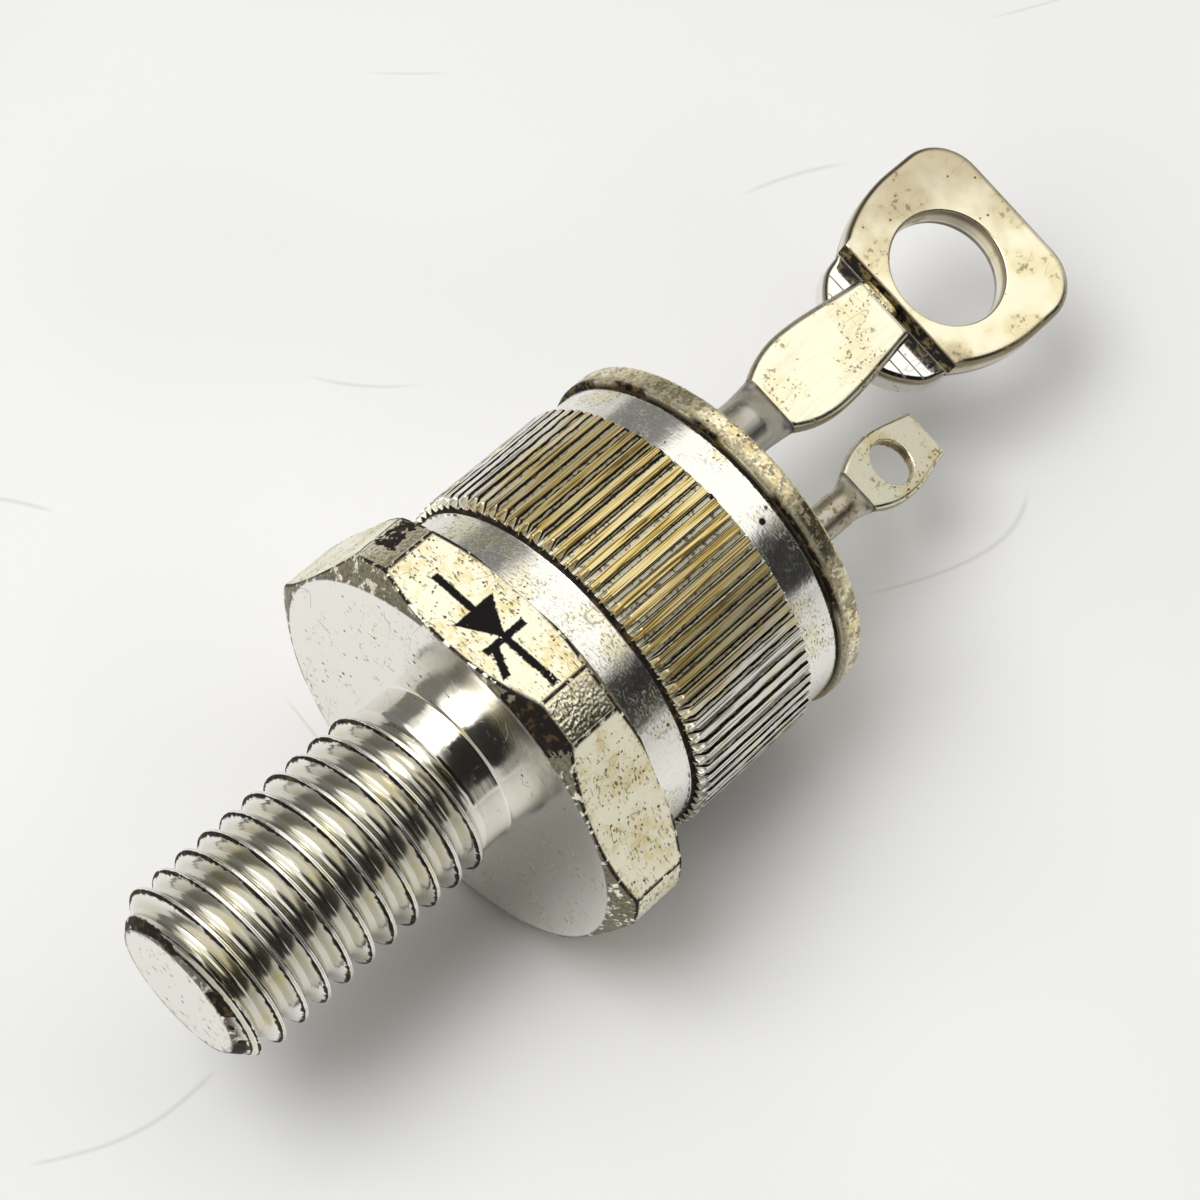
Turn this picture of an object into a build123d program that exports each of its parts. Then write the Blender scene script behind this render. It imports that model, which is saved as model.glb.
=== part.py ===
"""Stud-mounted thyristor: a knurled capsule brazed on a hexagon base with a threaded stud.

The pieces are drawn in the device's own frame and then laid down to rest.
Device frame: the axis is Z, the hexagon's seating face is z = 0, the stud points to -Z and
the terminals to +Z. The broad faces of both terminals look along +X, and the terminals
stand side by side along Y. Millimetres throughout.
"""

import os
from math import atan2, cos, degrees, pi, radians, sin, tan

from build123d import *

# Stud: a rolled 1/4-28 UNF thread, so its blank is as thin as the thread's pitch diameter.
thread_major_d = 6.25
thread_blank_d = 5.76
stud_length = 11.0
thread_runout = 1.0  # bare blank between the thread and the seating face
stud_root = 0.27  # 45 degree corner between the blank and the seating face
tip_face_d = 4.7
tip_chamfer_angle = 45.0

# Hexagon, 9/16 inch nominal, corners turned off and both faces chamfered.
hex_across_flats = 14.1
hex_across_corners = 15.5
hex_height = 2.8
seat_chamfer = 0.72  # from the turned-off corners inwards
seat_chamfer_angle = 34.0
shoulder_chamfer = 0.55
shoulder_chamfer_angle = 32.0
hex_turn = -17.0  # of the uppermost flat about the axis, from the terminals' broad faces

# Capsule case: a copper cup with a straight knurl between two smooth bands.
braze_thickness = 0.08
braze_inset = 0.3  # from the cup's foot inwards
foot_d = 12.2
foot_chamfer = 0.22
foot_height = 1.77  # smooth band between the hexagon and the knurl
lead_in_height = 0.6  # chamfered entry of the knurl
knurl_d = 12.9
knurl_length = 5.17  # lead-in included
knurl_teeth = 80
knurl_depth = 0.3
knurl_land = 0.52  # flat top of a tooth, as a share of its pitch
entry_overrun = 0.1  # of the entry's cone past the tops of the teeth
neck_d = 12.5
neck_height = 1.46  # smooth band above the knurl
cup_bore_d = 9.8
cup_floor = 1.1

# Header: a steel ring welded on the cup, with a collar that holds the glass.
weld_gap = 0.1
weld_ring_d = 11.9
weld_ring_width = 0.4
flange_d = 12.9
flange_thickness = 0.8
flange_chamfer = 0.12
collar_outer_d = 9.8
collar_inner_d = 8.4
collar_height = 0.55  # above the flange
collar_chamfer = 0.15
skirt_clearance = 0.3  # between the collar's lower end and the cup's bore
skirt_depth = 0.8  # below the flange
glass_recess = 0.2  # below the collar's rim
glass_underside = 0.1  # above the collar's lower end

# Terminals: tubes flattened into blades.
cathode_offset = -1.83
cathode_tube_d = 2.1
cathode_wall = 0.37
cathode_crease_z = 16.8
cathode_flare = 1.1
cathode_blade_chamfer = 0.2
cathode_crease_width = 2.3
cathode_waist_width = 3.38
cathode_waist_at = 2.0
cathode_end_width = 2.6
cathode_blade_length = 5.65
gate_offset = 2.22
gate_tube_d = 1.27
gate_wall = 0.22
gate_crease_z = 17.1
gate_flare = 0.8
gate_blade_chamfer = 0.12
gate_crease_width = 1.7
gate_waist_width = 2.57
gate_waist_at = 1.75
gate_end_width = 1.9
gate_blade_length = 4.0
gate_lean = 14.0  # the gate's blade is bent back from the tube by this angle
gate_hole_d = 1.7
gate_hole_at = 1.85  # from the crease
tube_below_glass = 1.0
press_step = 0.03  # left by the flattening die at the crease
flare_corner = 0.4  # radius of the flare's corners at the crease, as a share of the pressed thickness
blade_flare_angle = 30.0  # of the blade's sides at the crease
blade_taper_angle = 6.0  # of the blade's sides at its end
tube_pinch = 0.5  # solid tube below the start of each flare

# Lug: a stamped plate with a joggle, soldered behind the end of the cathode's blade.
lug_thickness = 1.1
lug_offset = 0.27  # sideways from the blade's centre
lug_waist_width = 5.5
lug_width = 7.5
lug_shoulder_at = 3.25  # from the joggle to the plate's full width
lug_length = 6.08  # from the joggle to the outer edge
lug_corner_r = 1.75
lug_hole_d = 4.22
lug_hole_at = 2.39  # from the joggle
lug_hole_offset = 0.1
lug_tab_length = 2.15
lug_tab_corner_r = 1.5
lug_tab_crown_r = 3.0  # of the tongue's end between its corners
lug_web = 0.6  # of the tongue that runs on behind the plate
lug_edge_r = 0.25
joint_gap = 0.5  # between the blade's end and the joggle
solder_film = 0.06
solder_film_inset = 0.2  # from the edges of the lapped joint
bead_width = 1.7
bead_edge = 0.1  # from the blade's side to the bead
bead_sink = 0.15  # of the bead's rims below the plate's front
bead_dip = 0.2  # of its hollow face below the rims

# Inside the capsule, from the cup's floor upwards.
solder_layer = 0.08
anode_plate_d = 8.0
anode_plate_thickness = 0.6
die_d = 7.0
die_thickness = 0.25
die_bevel = 0.12
cathode_plate_d = 6.2
cathode_plate_thickness = 0.4
gate_notch = 1.7
cathode_lead_d = 1.2
gate_lead_d = 0.6
gate_pad_d = 1.0
lead_in_tube = 3.0

# Heights along the axis that follow from the sizes above.
hex_top = hex_height
foot_z = hex_top + braze_thickness
knurl_z = foot_z + foot_height
neck_z = knurl_z + knurl_length
case_top = neck_z + neck_height
flange_z = case_top + weld_gap
flange_top = flange_z + flange_thickness
collar_top = flange_top + collar_height
skirt_z = flange_z - skirt_depth
glass_z = skirt_z + glass_underside
glass_top = collar_top - glass_recess
tube_z = glass_z - tube_below_glass
floor_z = foot_z + cup_floor
anode_plate_z = floor_z + solder_layer
die_solder_z = anode_plate_z + anode_plate_thickness
die_z = die_solder_z + solder_layer
die_top = die_z + die_thickness
cathode_plate_z = die_top + solder_layer
cathode_plate_top = cathode_plate_z + cathode_plate_thickness
cathode_blade_thickness = 2 * cathode_wall
gate_blade_thickness = 2 * gate_wall
joggle_z = cathode_crease_z + cathode_blade_length + joint_gap
hair = 0.01  # heights closer than this count as the same


def disc(diameter, z, height, x=0.0, y=0.0):
    """A plain disc or round rod standing on height z."""
    return Pos(x, y, z) * Cylinder(diameter / 2, height, align=(Align.CENTER, Align.CENTER, Align.MIN))


def turned(*points):
    """A solid turned about the axis from (radius, z) points."""
    face = make_face(Polyline(*[(r, 0, z) for r, z in points], close=True))
    return revolve(face, Axis.Z)


def stud_base():
    """Hexagon and stud, headed and turned in one piece."""
    across = RegularPolygon(hex_across_flats / 2, 6, major_radius=False, rotation=30 + hex_turn)
    corner_r = hex_across_corners / 2
    seat_r, shoulder_r = corner_r - seat_chamfer, corner_r - shoulder_chamfer
    seat_rise = seat_chamfer * tan(radians(seat_chamfer_angle))
    shoulder_drop = shoulder_chamfer * tan(radians(shoulder_chamfer_angle))
    envelope = turned(
        (0, 0), (seat_r, 0), (corner_r, seat_rise),
        (corner_r, hex_top - shoulder_drop), (shoulder_r, hex_top), (0, hex_top),
    )
    hexagon = extrude(across, hex_height) & envelope
    blank_r, major_r, tip_r = thread_blank_d / 2, thread_major_d / 2, tip_face_d / 2
    tip_rise = (major_r - tip_r) * tan(radians(tip_chamfer_angle))
    thread_start = -thread_runout - (major_r - blank_r)
    stud = turned(
        (0, 0), (blank_r + stud_root, 0), (blank_r, -stud_root), (blank_r, -thread_runout),
        (major_r, thread_start),
        (major_r, -stud_length + tip_rise), (tip_r, -stud_length), (0, -stud_length),
    )
    return hexagon + stud


def toothed_prism():
    """A prism with the knurl's flat-topped teeth all round."""
    pitch = 2 * pi / knurl_teeth
    crest_r = knurl_d / 2
    root_r = crest_r - knurl_depth
    land = pitch * knurl_land
    tooth = ((root_r, -pitch / 2), (crest_r, -land / 2), (crest_r, land / 2))
    points = [
        (radius * cos(index * pitch + angle), radius * sin(index * pitch + angle))
        for index in range(knurl_teeth)
        for radius, angle in tooth
    ]
    return extrude(Pos(0, 0, knurl_z) * make_face(Polyline(*points, close=True)), knurl_length)


def entry_cone():
    """What the knurl's chamfered entry leaves of the prism, from the foot's top up to the neck."""
    crest_r = knurl_d / 2
    entry_r = min(foot_d / 2, crest_r - knurl_depth)
    full_r = crest_r + entry_overrun
    full_z = knurl_z + lead_in_height * (full_r - entry_r) / (crest_r - entry_r)
    return turned((0, knurl_z), (entry_r, knurl_z), (full_r, full_z), (full_r, neck_z), (0, neck_z))


def knurled_case():
    """The copper cup: smooth foot, knurl with a chamfered entry, smooth neck, blind bore."""
    foot_r = foot_d / 2
    foot = turned(
        (0, foot_z), (foot_r - foot_chamfer, foot_z), (foot_r, foot_z + foot_chamfer),
        (foot_r, knurl_z), (0, knurl_z),
    )
    neck = disc(neck_d, neck_z, neck_height)
    bore = disc(cup_bore_d, floor_z, case_top - floor_z)
    return foot + (toothed_prism() & entry_cone()) + neck - bore


def base_braze():
    """Braze between the hexagon and the cup."""
    return disc(foot_d - 2 * (foot_chamfer + braze_inset), hex_top, braze_thickness)


def header_shell():
    """Steel weld ring with a flange outside and a collar for the glass inside."""
    outer_r, collar_r, hole_r = flange_d / 2, collar_outer_d / 2, collar_inner_d / 2
    skirt_r = cup_bore_d / 2 - skirt_clearance
    weld_r = weld_ring_d / 2
    rib_r = weld_r - weld_ring_width
    return turned(
        (hole_r, skirt_z), (skirt_r, skirt_z), (skirt_r, flange_z),
        (rib_r, flange_z), (rib_r, case_top), (weld_r, case_top), (weld_r, flange_z),
        (outer_r - flange_chamfer, flange_z), (outer_r, flange_z + flange_chamfer),
        (outer_r, flange_top - flange_chamfer), (outer_r - flange_chamfer, flange_top),
        (collar_r, flange_top), (collar_r, collar_top - collar_chamfer),
        (collar_r - collar_chamfer, collar_top), (hole_r, collar_top),
    )


def header_glass():
    """Fused glass bead that fills the collar round both tubes."""
    bead = disc(collar_inner_d, glass_z, glass_top - glass_z)
    bead -= disc(cathode_tube_d, glass_z, glass_top - glass_z, y=cathode_offset)
    return bead - disc(gate_tube_d, glass_z, glass_top - glass_z, y=gate_offset)


def blade_outline(crease_width, waist_width, waist_at, end_width, length):
    """Blade seen from its broad side: narrow at the crease, widest at the waist, cut square."""
    flare, taper = radians(blade_flare_angle), radians(blade_taper_angle)
    right = Spline(
        (crease_width / 2, 0), (waist_width / 2, waist_at), (end_width / 2, length),
        tangents=((sin(flare), cos(flare)), (-sin(taper), cos(taper))),
    )
    left = mirror(right, Plane.YZ)
    return make_face([right, left, Line(right @ 1, left @ 1), Line(right @ 0, left @ 0)])


def flattened_tube(offset, diameter, wall, crease_z, crease_width, flare, lean, edge_chamfer, outline):
    """A tube whose upper end is pressed into a blade; the blade leans back from the crease."""
    thickness = 2 * wall
    flare_z = crease_z - flare
    tube = disc(diameter, tube_z, flare_z - tube_z, y=offset)
    tube -= disc(diameter - 2 * wall, tube_z, flare_z - tube_pinch - tube_z, y=offset)
    across, along = (0, 1, 0), (-sin(radians(lean)), 0, cos(radians(lean)))
    crease = Plane(origin=(0, offset, crease_z), x_dir=across, z_dir=along)
    round_end = Plane.XY.offset(flare_z) * Pos(0, offset) * Circle(diameter / 2)
    pressed = crease * RectangleRounded(
        crease_width - 2 * press_step, thickness - 2 * press_step, flare_corner * thickness
    )
    neck = loft([round_end, pressed])
    face = Plane(origin=crease.origin, x_dir=across, z_dir=-crease.y_dir)
    blade = extrude(face * outline, wall, both=True)
    blade = chamfer(blade.edges().filter_by(GeomType.BSPLINE), edge_chamfer)
    return tube + neck + blade, face


def cathode_tube():
    """Cathode terminal: the large tube and its plain blade."""
    outline = blade_outline(
        cathode_crease_width, cathode_waist_width, cathode_waist_at, cathode_end_width, cathode_blade_length
    )
    terminal, _ = flattened_tube(
        cathode_offset, cathode_tube_d, cathode_wall, cathode_crease_z, cathode_crease_width,
        cathode_flare, 0.0, cathode_blade_chamfer, outline,
    )
    return terminal


def gate_tube():
    """Gate terminal: the small tube and its pierced blade."""
    outline = blade_outline(
        gate_crease_width, gate_waist_width, gate_waist_at, gate_end_width, gate_blade_length
    )
    terminal, face = flattened_tube(
        gate_offset, gate_tube_d, gate_wall, gate_crease_z, gate_crease_width,
        gate_flare, gate_lean, gate_blade_chamfer, outline,
    )
    hole = face * Pos(0, gate_hole_at) * Circle(gate_hole_d / 2)
    return terminal - extrude(hole, gate_blade_thickness, both=True)


def lug_planes():
    """Depths along X: the plate's front and the tab's front, which lies behind the blade."""
    plate_front = cathode_blade_thickness / 2
    tab_front = -cathode_blade_thickness / 2 - solder_film
    return plate_front, tab_front


def stamped(face, outline, rounded):
    """A stamped plate that hangs back from its face, with the chosen edges of the face rounded."""
    plate = extrude(face * outline, -lug_thickness)
    rim = plate.faces().sort_by(Axis.X)[-1].outer_wire().edges()
    return fillet([edge for edge in rim if rounded(edge.center().Z - joggle_z)], lug_edge_r)


def plate_outline():
    """The lug's plate: a waist at the joggle that widens in an arc, and a rounded square end."""
    waist, half, corner = lug_waist_width / 2, lug_width / 2, lug_corner_r
    side = Curve() + [
        TangentArc((half, lug_shoulder_at), (waist, 0), tangent=(0, -1)),
        Line((half, lug_shoulder_at), (half, lug_length - corner)),
        RadiusArc((half, lug_length - corner), (half - corner, lug_length), -corner),
    ]
    ends = [Line((half - corner, lug_length), (corner - half, lug_length)), Line((-waist, 0), (waist, 0))]
    return make_face([*side.edges(), *mirror(side, Plane.YZ).edges(), *ends])


def tab_outline():
    """The lug's tongue: straight sides down to a crowned end with rounded corners."""
    strip = Pos(0, -lug_tab_length) * Rectangle(
        lug_waist_width, lug_tab_length + lug_web, align=(Align.CENTER, Align.MIN)
    )
    crown = Pos(0, lug_tab_crown_r - lug_tab_length) * Circle(lug_tab_crown_r)
    tongue = strip & crown
    return fillet(tongue.vertices().group_by(Axis.Y)[0], lug_tab_corner_r)


def cathode_lug():
    """Stamped ring lug: a rounded plate with a hole, stepped back to a tongue behind the blade."""
    plate_front, tab_front = lug_planes()
    middle = cathode_offset + lug_offset
    plate_face = Plane(origin=(plate_front, middle, joggle_z), x_dir=(0, 1, 0), z_dir=(1, 0, 0))
    tab_face = Plane(origin=(tab_front, middle, joggle_z), x_dir=(0, 1, 0), z_dir=(1, 0, 0))
    plate = stamped(plate_face, plate_outline(), lambda height: height > hair)
    tab = stamped(tab_face, tab_outline(), lambda height: height < -hair)
    depth = plate_front - tab_front + lug_thickness
    hole = extrude(plate_face * Pos(lug_hole_offset, lug_hole_at) * Circle(lug_hole_d / 2), -depth)
    return plate + tab - hole


def lug_solder():
    """Solder under the blade's end and in the corner between the blade and the joggle."""
    plate_front, tab_front = lug_planes()
    blade_end = joggle_z - joint_gap
    film_foot = joggle_z - lug_tab_length + solder_film_inset
    film = Pos(tab_front + solder_film / 2, cathode_offset, (film_foot + blade_end) / 2) * Box(
        solder_film, cathode_end_width - 2 * solder_film_inset, blade_end - film_foot
    )
    rim = plate_front - bead_sink
    hollow = ThreePointArc((rim, blade_end), (rim - bead_dip, blade_end + joint_gap / 2), (rim, joggle_z))
    back = Polyline((rim, joggle_z), (tab_front, joggle_z), (tab_front, blade_end), (rim, blade_end))
    bead_start = cathode_offset - cathode_end_width / 2 + bead_edge
    run = Plane(origin=(0, bead_start, 0), x_dir=(1, 0, 0), z_dir=(0, -1, 0))
    return film + extrude(run * make_face([hollow, *back.edges()]), -bead_width)


def cathode_layer(z, height):
    """A layer on the die's cathode, notched for the gate."""
    return disc(cathode_plate_d, z, height) - gate_clearance(z, height)


def gate_clearance(z, height):
    """Notch through a layer, from the gate's lead out to the edge."""
    reach = cathode_plate_d
    slot = Pos(0, gate_offset + reach / 2, z + height / 2) * Box(gate_notch, reach, height)
    return slot + disc(gate_notch, z, height, y=gate_offset)


def silicon_die():
    """Silicon pellet with a bevelled edge."""
    lower_r, upper_r = die_d / 2, die_d / 2 - die_bevel
    return turned((0, die_z), (lower_r, die_z), (upper_r, die_top), (0, die_top))


def assembly():
    """Every piece in the device frame, by node name."""
    tube_solid_z = cathode_crease_z - cathode_flare - tube_pinch
    gate_solid_z = gate_crease_z - gate_flare - tube_pinch
    cathode_lead_top = min(tube_z + lead_in_tube, tube_solid_z)
    gate_lead_top = min(tube_z + lead_in_tube, gate_solid_z)
    return {
        "stud_base": stud_base(),
        "base_braze": base_braze(),
        "knurled_case": knurled_case(),
        "header_shell": header_shell(),
        "header_glass": header_glass(),
        "cathode_tube": cathode_tube(),
        "cathode_lug": cathode_lug(),
        "lug_solder": lug_solder(),
        "gate_tube": gate_tube(),
        "anode_solder": disc(anode_plate_d, floor_z, solder_layer),
        "anode_plate": disc(anode_plate_d, anode_plate_z, anode_plate_thickness),
        "die_solder": disc(die_d, die_solder_z, solder_layer),
        "silicon_die": silicon_die(),
        "cathode_solder": cathode_layer(die_top, solder_layer),
        "cathode_plate": cathode_layer(cathode_plate_z, cathode_plate_thickness),
        "cathode_lead": disc(
            cathode_lead_d, cathode_plate_top, cathode_lead_top - cathode_plate_top, y=cathode_offset
        ),
        "gate_pad": disc(gate_pad_d, die_top, solder_layer, y=gate_offset),
        "gate_lead": disc(
            gate_lead_d, die_top + solder_layer, gate_lead_top - die_top - solder_layer, y=gate_offset
        ),
    }


def resting(pieces):
    """Lay the device down: it rests on the lowest flat's shoulder edge and on the flange's rim."""
    drop = (hex_across_flats - flange_d) / 2
    run = flange_top - flange_chamfer - hex_top
    tilt = degrees(atan2(drop, run))
    # The uppermost flat turns to +X, then +Z becomes +X and +X becomes +Z, then the flange dips.
    lie_down = Rot(0, tilt, 0) * Location(Plane(origin=(0, 0, 0), x_dir=(0, 0, 1), z_dir=(1, 0, 0)))
    turn = lie_down * Rot(0, 0, -hex_turn)
    laid = {name: turn * piece for name, piece in pieces.items()}
    box = Compound(list(laid.values())).bounding_box()
    centre = box.center()
    ground = Pos(-centre.X, -centre.Y, -box.min.Z)
    return {name: ground * piece for name, piece in laid.items()}


os.makedirs("parts", exist_ok=True)
for node, solid in resting(assembly()).items():
    export_step(solid, f"parts/{node}.step")
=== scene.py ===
"""Looks of the stud-mounted thyristor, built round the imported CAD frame.

Every mesh is drawn in the device's own frame in millimetres (axis Z, seating face z = 0, stud to
-Z, the terminals' broad faces to +X) and then carried into the row frame by DEVICE, which is read
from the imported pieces. Each vertex keeps its device position in the attribute "dev".
"""

from functools import partial, reduce
from math import acos, atan2, ceil, cos, degrees, pi, radians, sin, tan

import bpy
import numpy as np
from mathutils import Matrix, Vector


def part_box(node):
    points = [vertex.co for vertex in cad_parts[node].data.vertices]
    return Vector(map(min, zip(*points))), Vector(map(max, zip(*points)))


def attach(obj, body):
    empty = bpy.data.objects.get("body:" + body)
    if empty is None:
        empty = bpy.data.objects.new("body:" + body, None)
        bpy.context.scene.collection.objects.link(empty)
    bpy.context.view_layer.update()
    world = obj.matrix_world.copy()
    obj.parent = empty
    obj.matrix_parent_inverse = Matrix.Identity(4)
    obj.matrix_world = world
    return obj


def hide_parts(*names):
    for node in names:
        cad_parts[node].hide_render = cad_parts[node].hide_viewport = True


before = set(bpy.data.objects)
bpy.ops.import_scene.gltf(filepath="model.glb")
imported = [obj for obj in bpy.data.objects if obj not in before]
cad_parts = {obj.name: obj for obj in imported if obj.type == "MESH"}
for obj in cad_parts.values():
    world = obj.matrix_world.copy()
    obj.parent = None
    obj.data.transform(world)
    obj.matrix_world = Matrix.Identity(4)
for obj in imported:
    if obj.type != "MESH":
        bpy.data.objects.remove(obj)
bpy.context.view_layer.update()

MM = 0.001

# Stud and its 1/4-28 thread.
THREAD_R = 3.125
THREAD_PITCH = 0.907
THREAD_DEPTH = 0.53
THREAD_PHASE = -9.817  # height of a crest at angle 0
BLANK_R = 2.88
STUD_LENGTH = 11.0
RUNOUT_START, RUNOUT_END = -1.5, -1.02
TIP_R = 2.35
TIP_RINGS = (0.0, 0.9, 1.7, TIP_R - 0.12, TIP_R)
STUD_FILLET_R = 0.1
ROLLED_UNEVEN = 0.006

# Hexagon.
FLAT_R = 7.05
CORNER_R = 7.75
HEX_TOP = 2.8
SEAT_R = 7.03
SEAT_SLOPE = tan(radians(34))
SHOULDER_R = 7.2
SHOULDER_SLOPE = tan(radians(32))
HEX_TURN = radians(-17)
HEX_EDGE_R = 0.07

# Knurled case.
FOOT_Z = 2.88
FOOT_R = 6.1
FOOT_EDGE_R = 0.26
KNURL_Z = 4.65
NECK_Z = 9.82
CASE_TOP = 11.28
LEAD_IN = 0.6
CREST_R = 6.45
ROOT_R = 6.15
NECK_R = 6.25
TEETH = 80
LAND = 0.52
BORE_R = 4.9
BORE_FLOOR = 3.98

# Header and glass.
FLANGE_Z = 11.38
FLANGE_TOP = 12.18
FLANGE_R = 6.45
FLANGE_EDGE_R = 0.14
WELD_R = 5.95
WELD_IN_R = 5.55
SKIRT_R = 4.6
SKIRT_Z = 10.58
COLLAR_R = 4.9
COLLAR_IN_R = 4.2
COLLAR_TOP = 12.73
COLLAR_EDGE_R = 0.18
GLASS_Z = 10.68
GLASS_TOP = 12.53

# Terminals. Each blade's widths are given at heights above its crease.
CATHODE = {
    "offset": -1.83, "tube_r": 1.05, "half_thickness": 0.37, "crease_z": 16.8, "flare": 1.1,
    "lean": 0.0, "widths": ((0.0, 2.3), (2.0, 3.38), (5.65, 2.6)), "edge_r": 0.3,
}
GATE = {
    "offset": 2.22, "tube_r": 0.635, "half_thickness": 0.22, "crease_z": 17.1, "flare": 0.8,
    "lean": radians(14), "widths": ((0.0, 1.7), (1.75, 2.57), (4.0, 1.9)), "edge_r": 0.17,
}
FLARE_SLOPE = tan(radians(30))
TAPER_SLOPE = -tan(radians(6))
TUBE_FOOT = 10.0
GATE_HOLE_R, GATE_HOLE_AT = 0.85, 1.85

# Lug.
JOGGLE_Z = 22.95
LUG_MIDDLE = -1.56
LUG_FRONT = 0.37
TAB_FRONT = -0.43
LUG_THICKNESS = 1.1
LUG_WAIST, LUG_HALF, LUG_SHOULDER, LUG_LENGTH, LUG_CORNER = 2.75, 3.75, 3.25, 6.08, 1.75
LUG_HOLE_R, LUG_HOLE_AT, LUG_HOLE_SIDE = 2.11, 2.39, 0.1
TAB_LENGTH, TAB_WEB, TAB_CROWN = 2.15, 0.6, 3.0
LUG_EDGE_R, LUG_BACK_R, LUG_RIM_R, JOGGLE_EDGE_R = 0.25, 0.1, 0.09, 0.06


def middle(node):
    """Centre of a CAD node's box."""
    low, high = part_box(node)
    return (low + high) / 2


def device_frame():
    """Matrix from device millimetres to the row frame in metres, read from the braze and the glass."""
    braze, glass = middle("base_braze"), middle("header_glass")
    axis = (glass - braze).normalized()
    flat_normal = Vector((-axis.z, 0.0, axis.x))
    x_dir = Matrix.Rotation(-HEX_TURN, 3, axis) @ flat_normal
    y_dir = axis.cross(x_dir)
    origin = braze - axis * (HEX_TOP + FOOT_Z) / 2 * MM
    turn = Matrix((x_dir, y_dir, axis)).transposed().to_4x4()
    return Matrix.Translation(origin) @ turn @ Matrix.Scale(MM, 4)


DEVICE = device_frame()


# ---------------------------------------------------------------- mesh helpers


def smooth(x):
    """Smoothstep of a number or array, clamped to 0..1."""
    x = np.clip(x, 0.0, 1.0)
    return x * x * (3 - 2 * x)


def hump(x, level, reach):
    """1 at a level, falling off on both sides as a bell does."""
    return np.exp(-(((x - level) / reach) ** 2))


def soft_min(a, b, reach):
    """The lesser of two values, blended over the given reach."""
    h = np.clip(0.5 + 0.5 * (b - a) / reach, 0.0, 1.0)
    return b * (1 - h) + a * h - reach * h * (1 - h)


def wobble(x, y, z, scale, seed=0):
    """Cheap smooth noise in -1..1 from a few crossed waves, the same on every run."""
    rng = np.random.default_rng(seed)
    total = 0.0
    for _ in range(6):
        direction = rng.normal(size=3) * scale
        phase = rng.uniform(0, 2 * pi)
        total = total + np.sin(direction[0] * x + direction[1] * y + direction[2] * z + phase)
    return total / 6 * 1.6


def round_wobble(angles, size, z, scale, seed):
    """The same noise on a circle, so that it closes round the axis."""
    return wobble(np.cos(angles) * size, np.sin(angles) * size, z, scale, seed)


def rounded(points, radii, steps=4):
    """A 2D polyline with its inner corners rounded; radii holds one value per point."""
    points = [np.asarray(point, float) for point in points]
    out = [points[0]]
    for before, corner, after, radius in zip(points, points[1:], points[2:], radii[1:]):
        if radius <= 0:
            out.append(corner)
            continue
        back, ahead = before - corner, after - corner
        reach = min(radius, 0.45 * min(np.linalg.norm(back), np.linalg.norm(ahead)))
        start = corner + back / np.linalg.norm(back) * reach
        end = corner + ahead / np.linalg.norm(ahead) * reach
        for t in np.linspace(0, 1, steps + 1):
            out.append((1 - t) ** 2 * start + 2 * t * (1 - t) * corner + t * t * end)
    return np.array(out + [points[-1]])


def cut_runs(points, parts):
    """A polyline with its n-th run cut into parts[n] equal pieces."""
    out = [points[0]]
    for a, b, pieces in zip(points[:-1], points[1:], parts):
        out += [a + (b - a) * k / pieces for k in range(1, pieces + 1)]
    return np.array(out)


def subdivided(points, longest):
    """A polyline with its long runs cut into pieces no longer than the given length."""
    lengths = np.linalg.norm(np.diff(points, axis=0), axis=1)
    return cut_runs(points, [max(1, ceil(length / longest)) for length in lengths])


def repeated(values, columns):
    """A column of values repeated for every column of a grid."""
    return np.repeat(np.asarray(values)[:, None], columns, axis=1)


def lathe_rows(angles, radius, height):
    """Device positions of a grid, from its radii and heights per row, or per row and column."""
    if np.ndim(radius) == 1:
        radius, height = repeated(radius, len(angles)), repeated(height, len(angles))
    return np.stack([radius * np.cos(angles), radius * np.sin(angles), height], axis=2)


def ring_faces(rows, columns, start=0, closed_rows=False):
    """Quads of a grid that wraps round its columns, and round its rows if closed_rows."""
    faces = []
    for i in range(rows if closed_rows else rows - 1):
        low, high = start + i * columns, start + ((i + 1) % rows) * columns
        for j in range(columns):
            k = (j + 1) % columns
            faces.append((low + j, low + k, high + k, high + j))
    return faces


def merged(vertices, faces):
    """Vertices at the same place made one, and faces that collapse dropped."""
    _, first, inverse = np.unique(np.round(vertices, 5), axis=0, return_index=True, return_inverse=True)
    inverse = inverse.reshape(-1).tolist()
    faces = [list(dict.fromkeys(inverse[vertex] for vertex in face)) for face in faces]
    return vertices[first], [face for face in faces if len(face) > 2], first


def make_object(name, vertices, faces):
    """A Blender object in device millimetres."""
    mesh = bpy.data.meshes.new(name)
    mesh.from_pydata([tuple(v) for v in vertices], [], faces)
    mesh.validate()
    piece = bpy.data.objects.new(name, mesh)
    bpy.context.collection.objects.link(piece)
    return piece


def grid_object(name, grid, closed_rows=False):
    """A grid of positions as an object, and which grid point each vertex comes from."""
    faces = ring_faces(len(grid), grid.shape[1], closed_rows=closed_rows)
    points, faces, first = merged(grid.reshape(-1, 3), faces)
    return make_object(name, points, faces), first


def capped(grid):
    """A grid closed at both ends: one more row at each, drawn together to a point."""
    ends = [np.repeat(row.mean(axis=0)[None, None, :], len(row), axis=1) for row in (grid[0], grid[-1])]
    return np.concatenate([ends[0], grid, ends[1]])


def apply_boolean(piece, tool, operation):
    """Joins or cuts a piece by a tool, which is then removed."""
    modifier = piece.modifiers.new("boolean", "BOOLEAN")
    modifier.operation, modifier.solver, modifier.object = operation, "EXACT", tool
    graph = bpy.context.evaluated_depsgraph_get()
    result = bpy.data.meshes.new_from_object(piece.evaluated_get(graph))
    piece.modifiers.clear()
    piece.data = result
    bpy.data.objects.remove(tool)
    return piece


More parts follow.
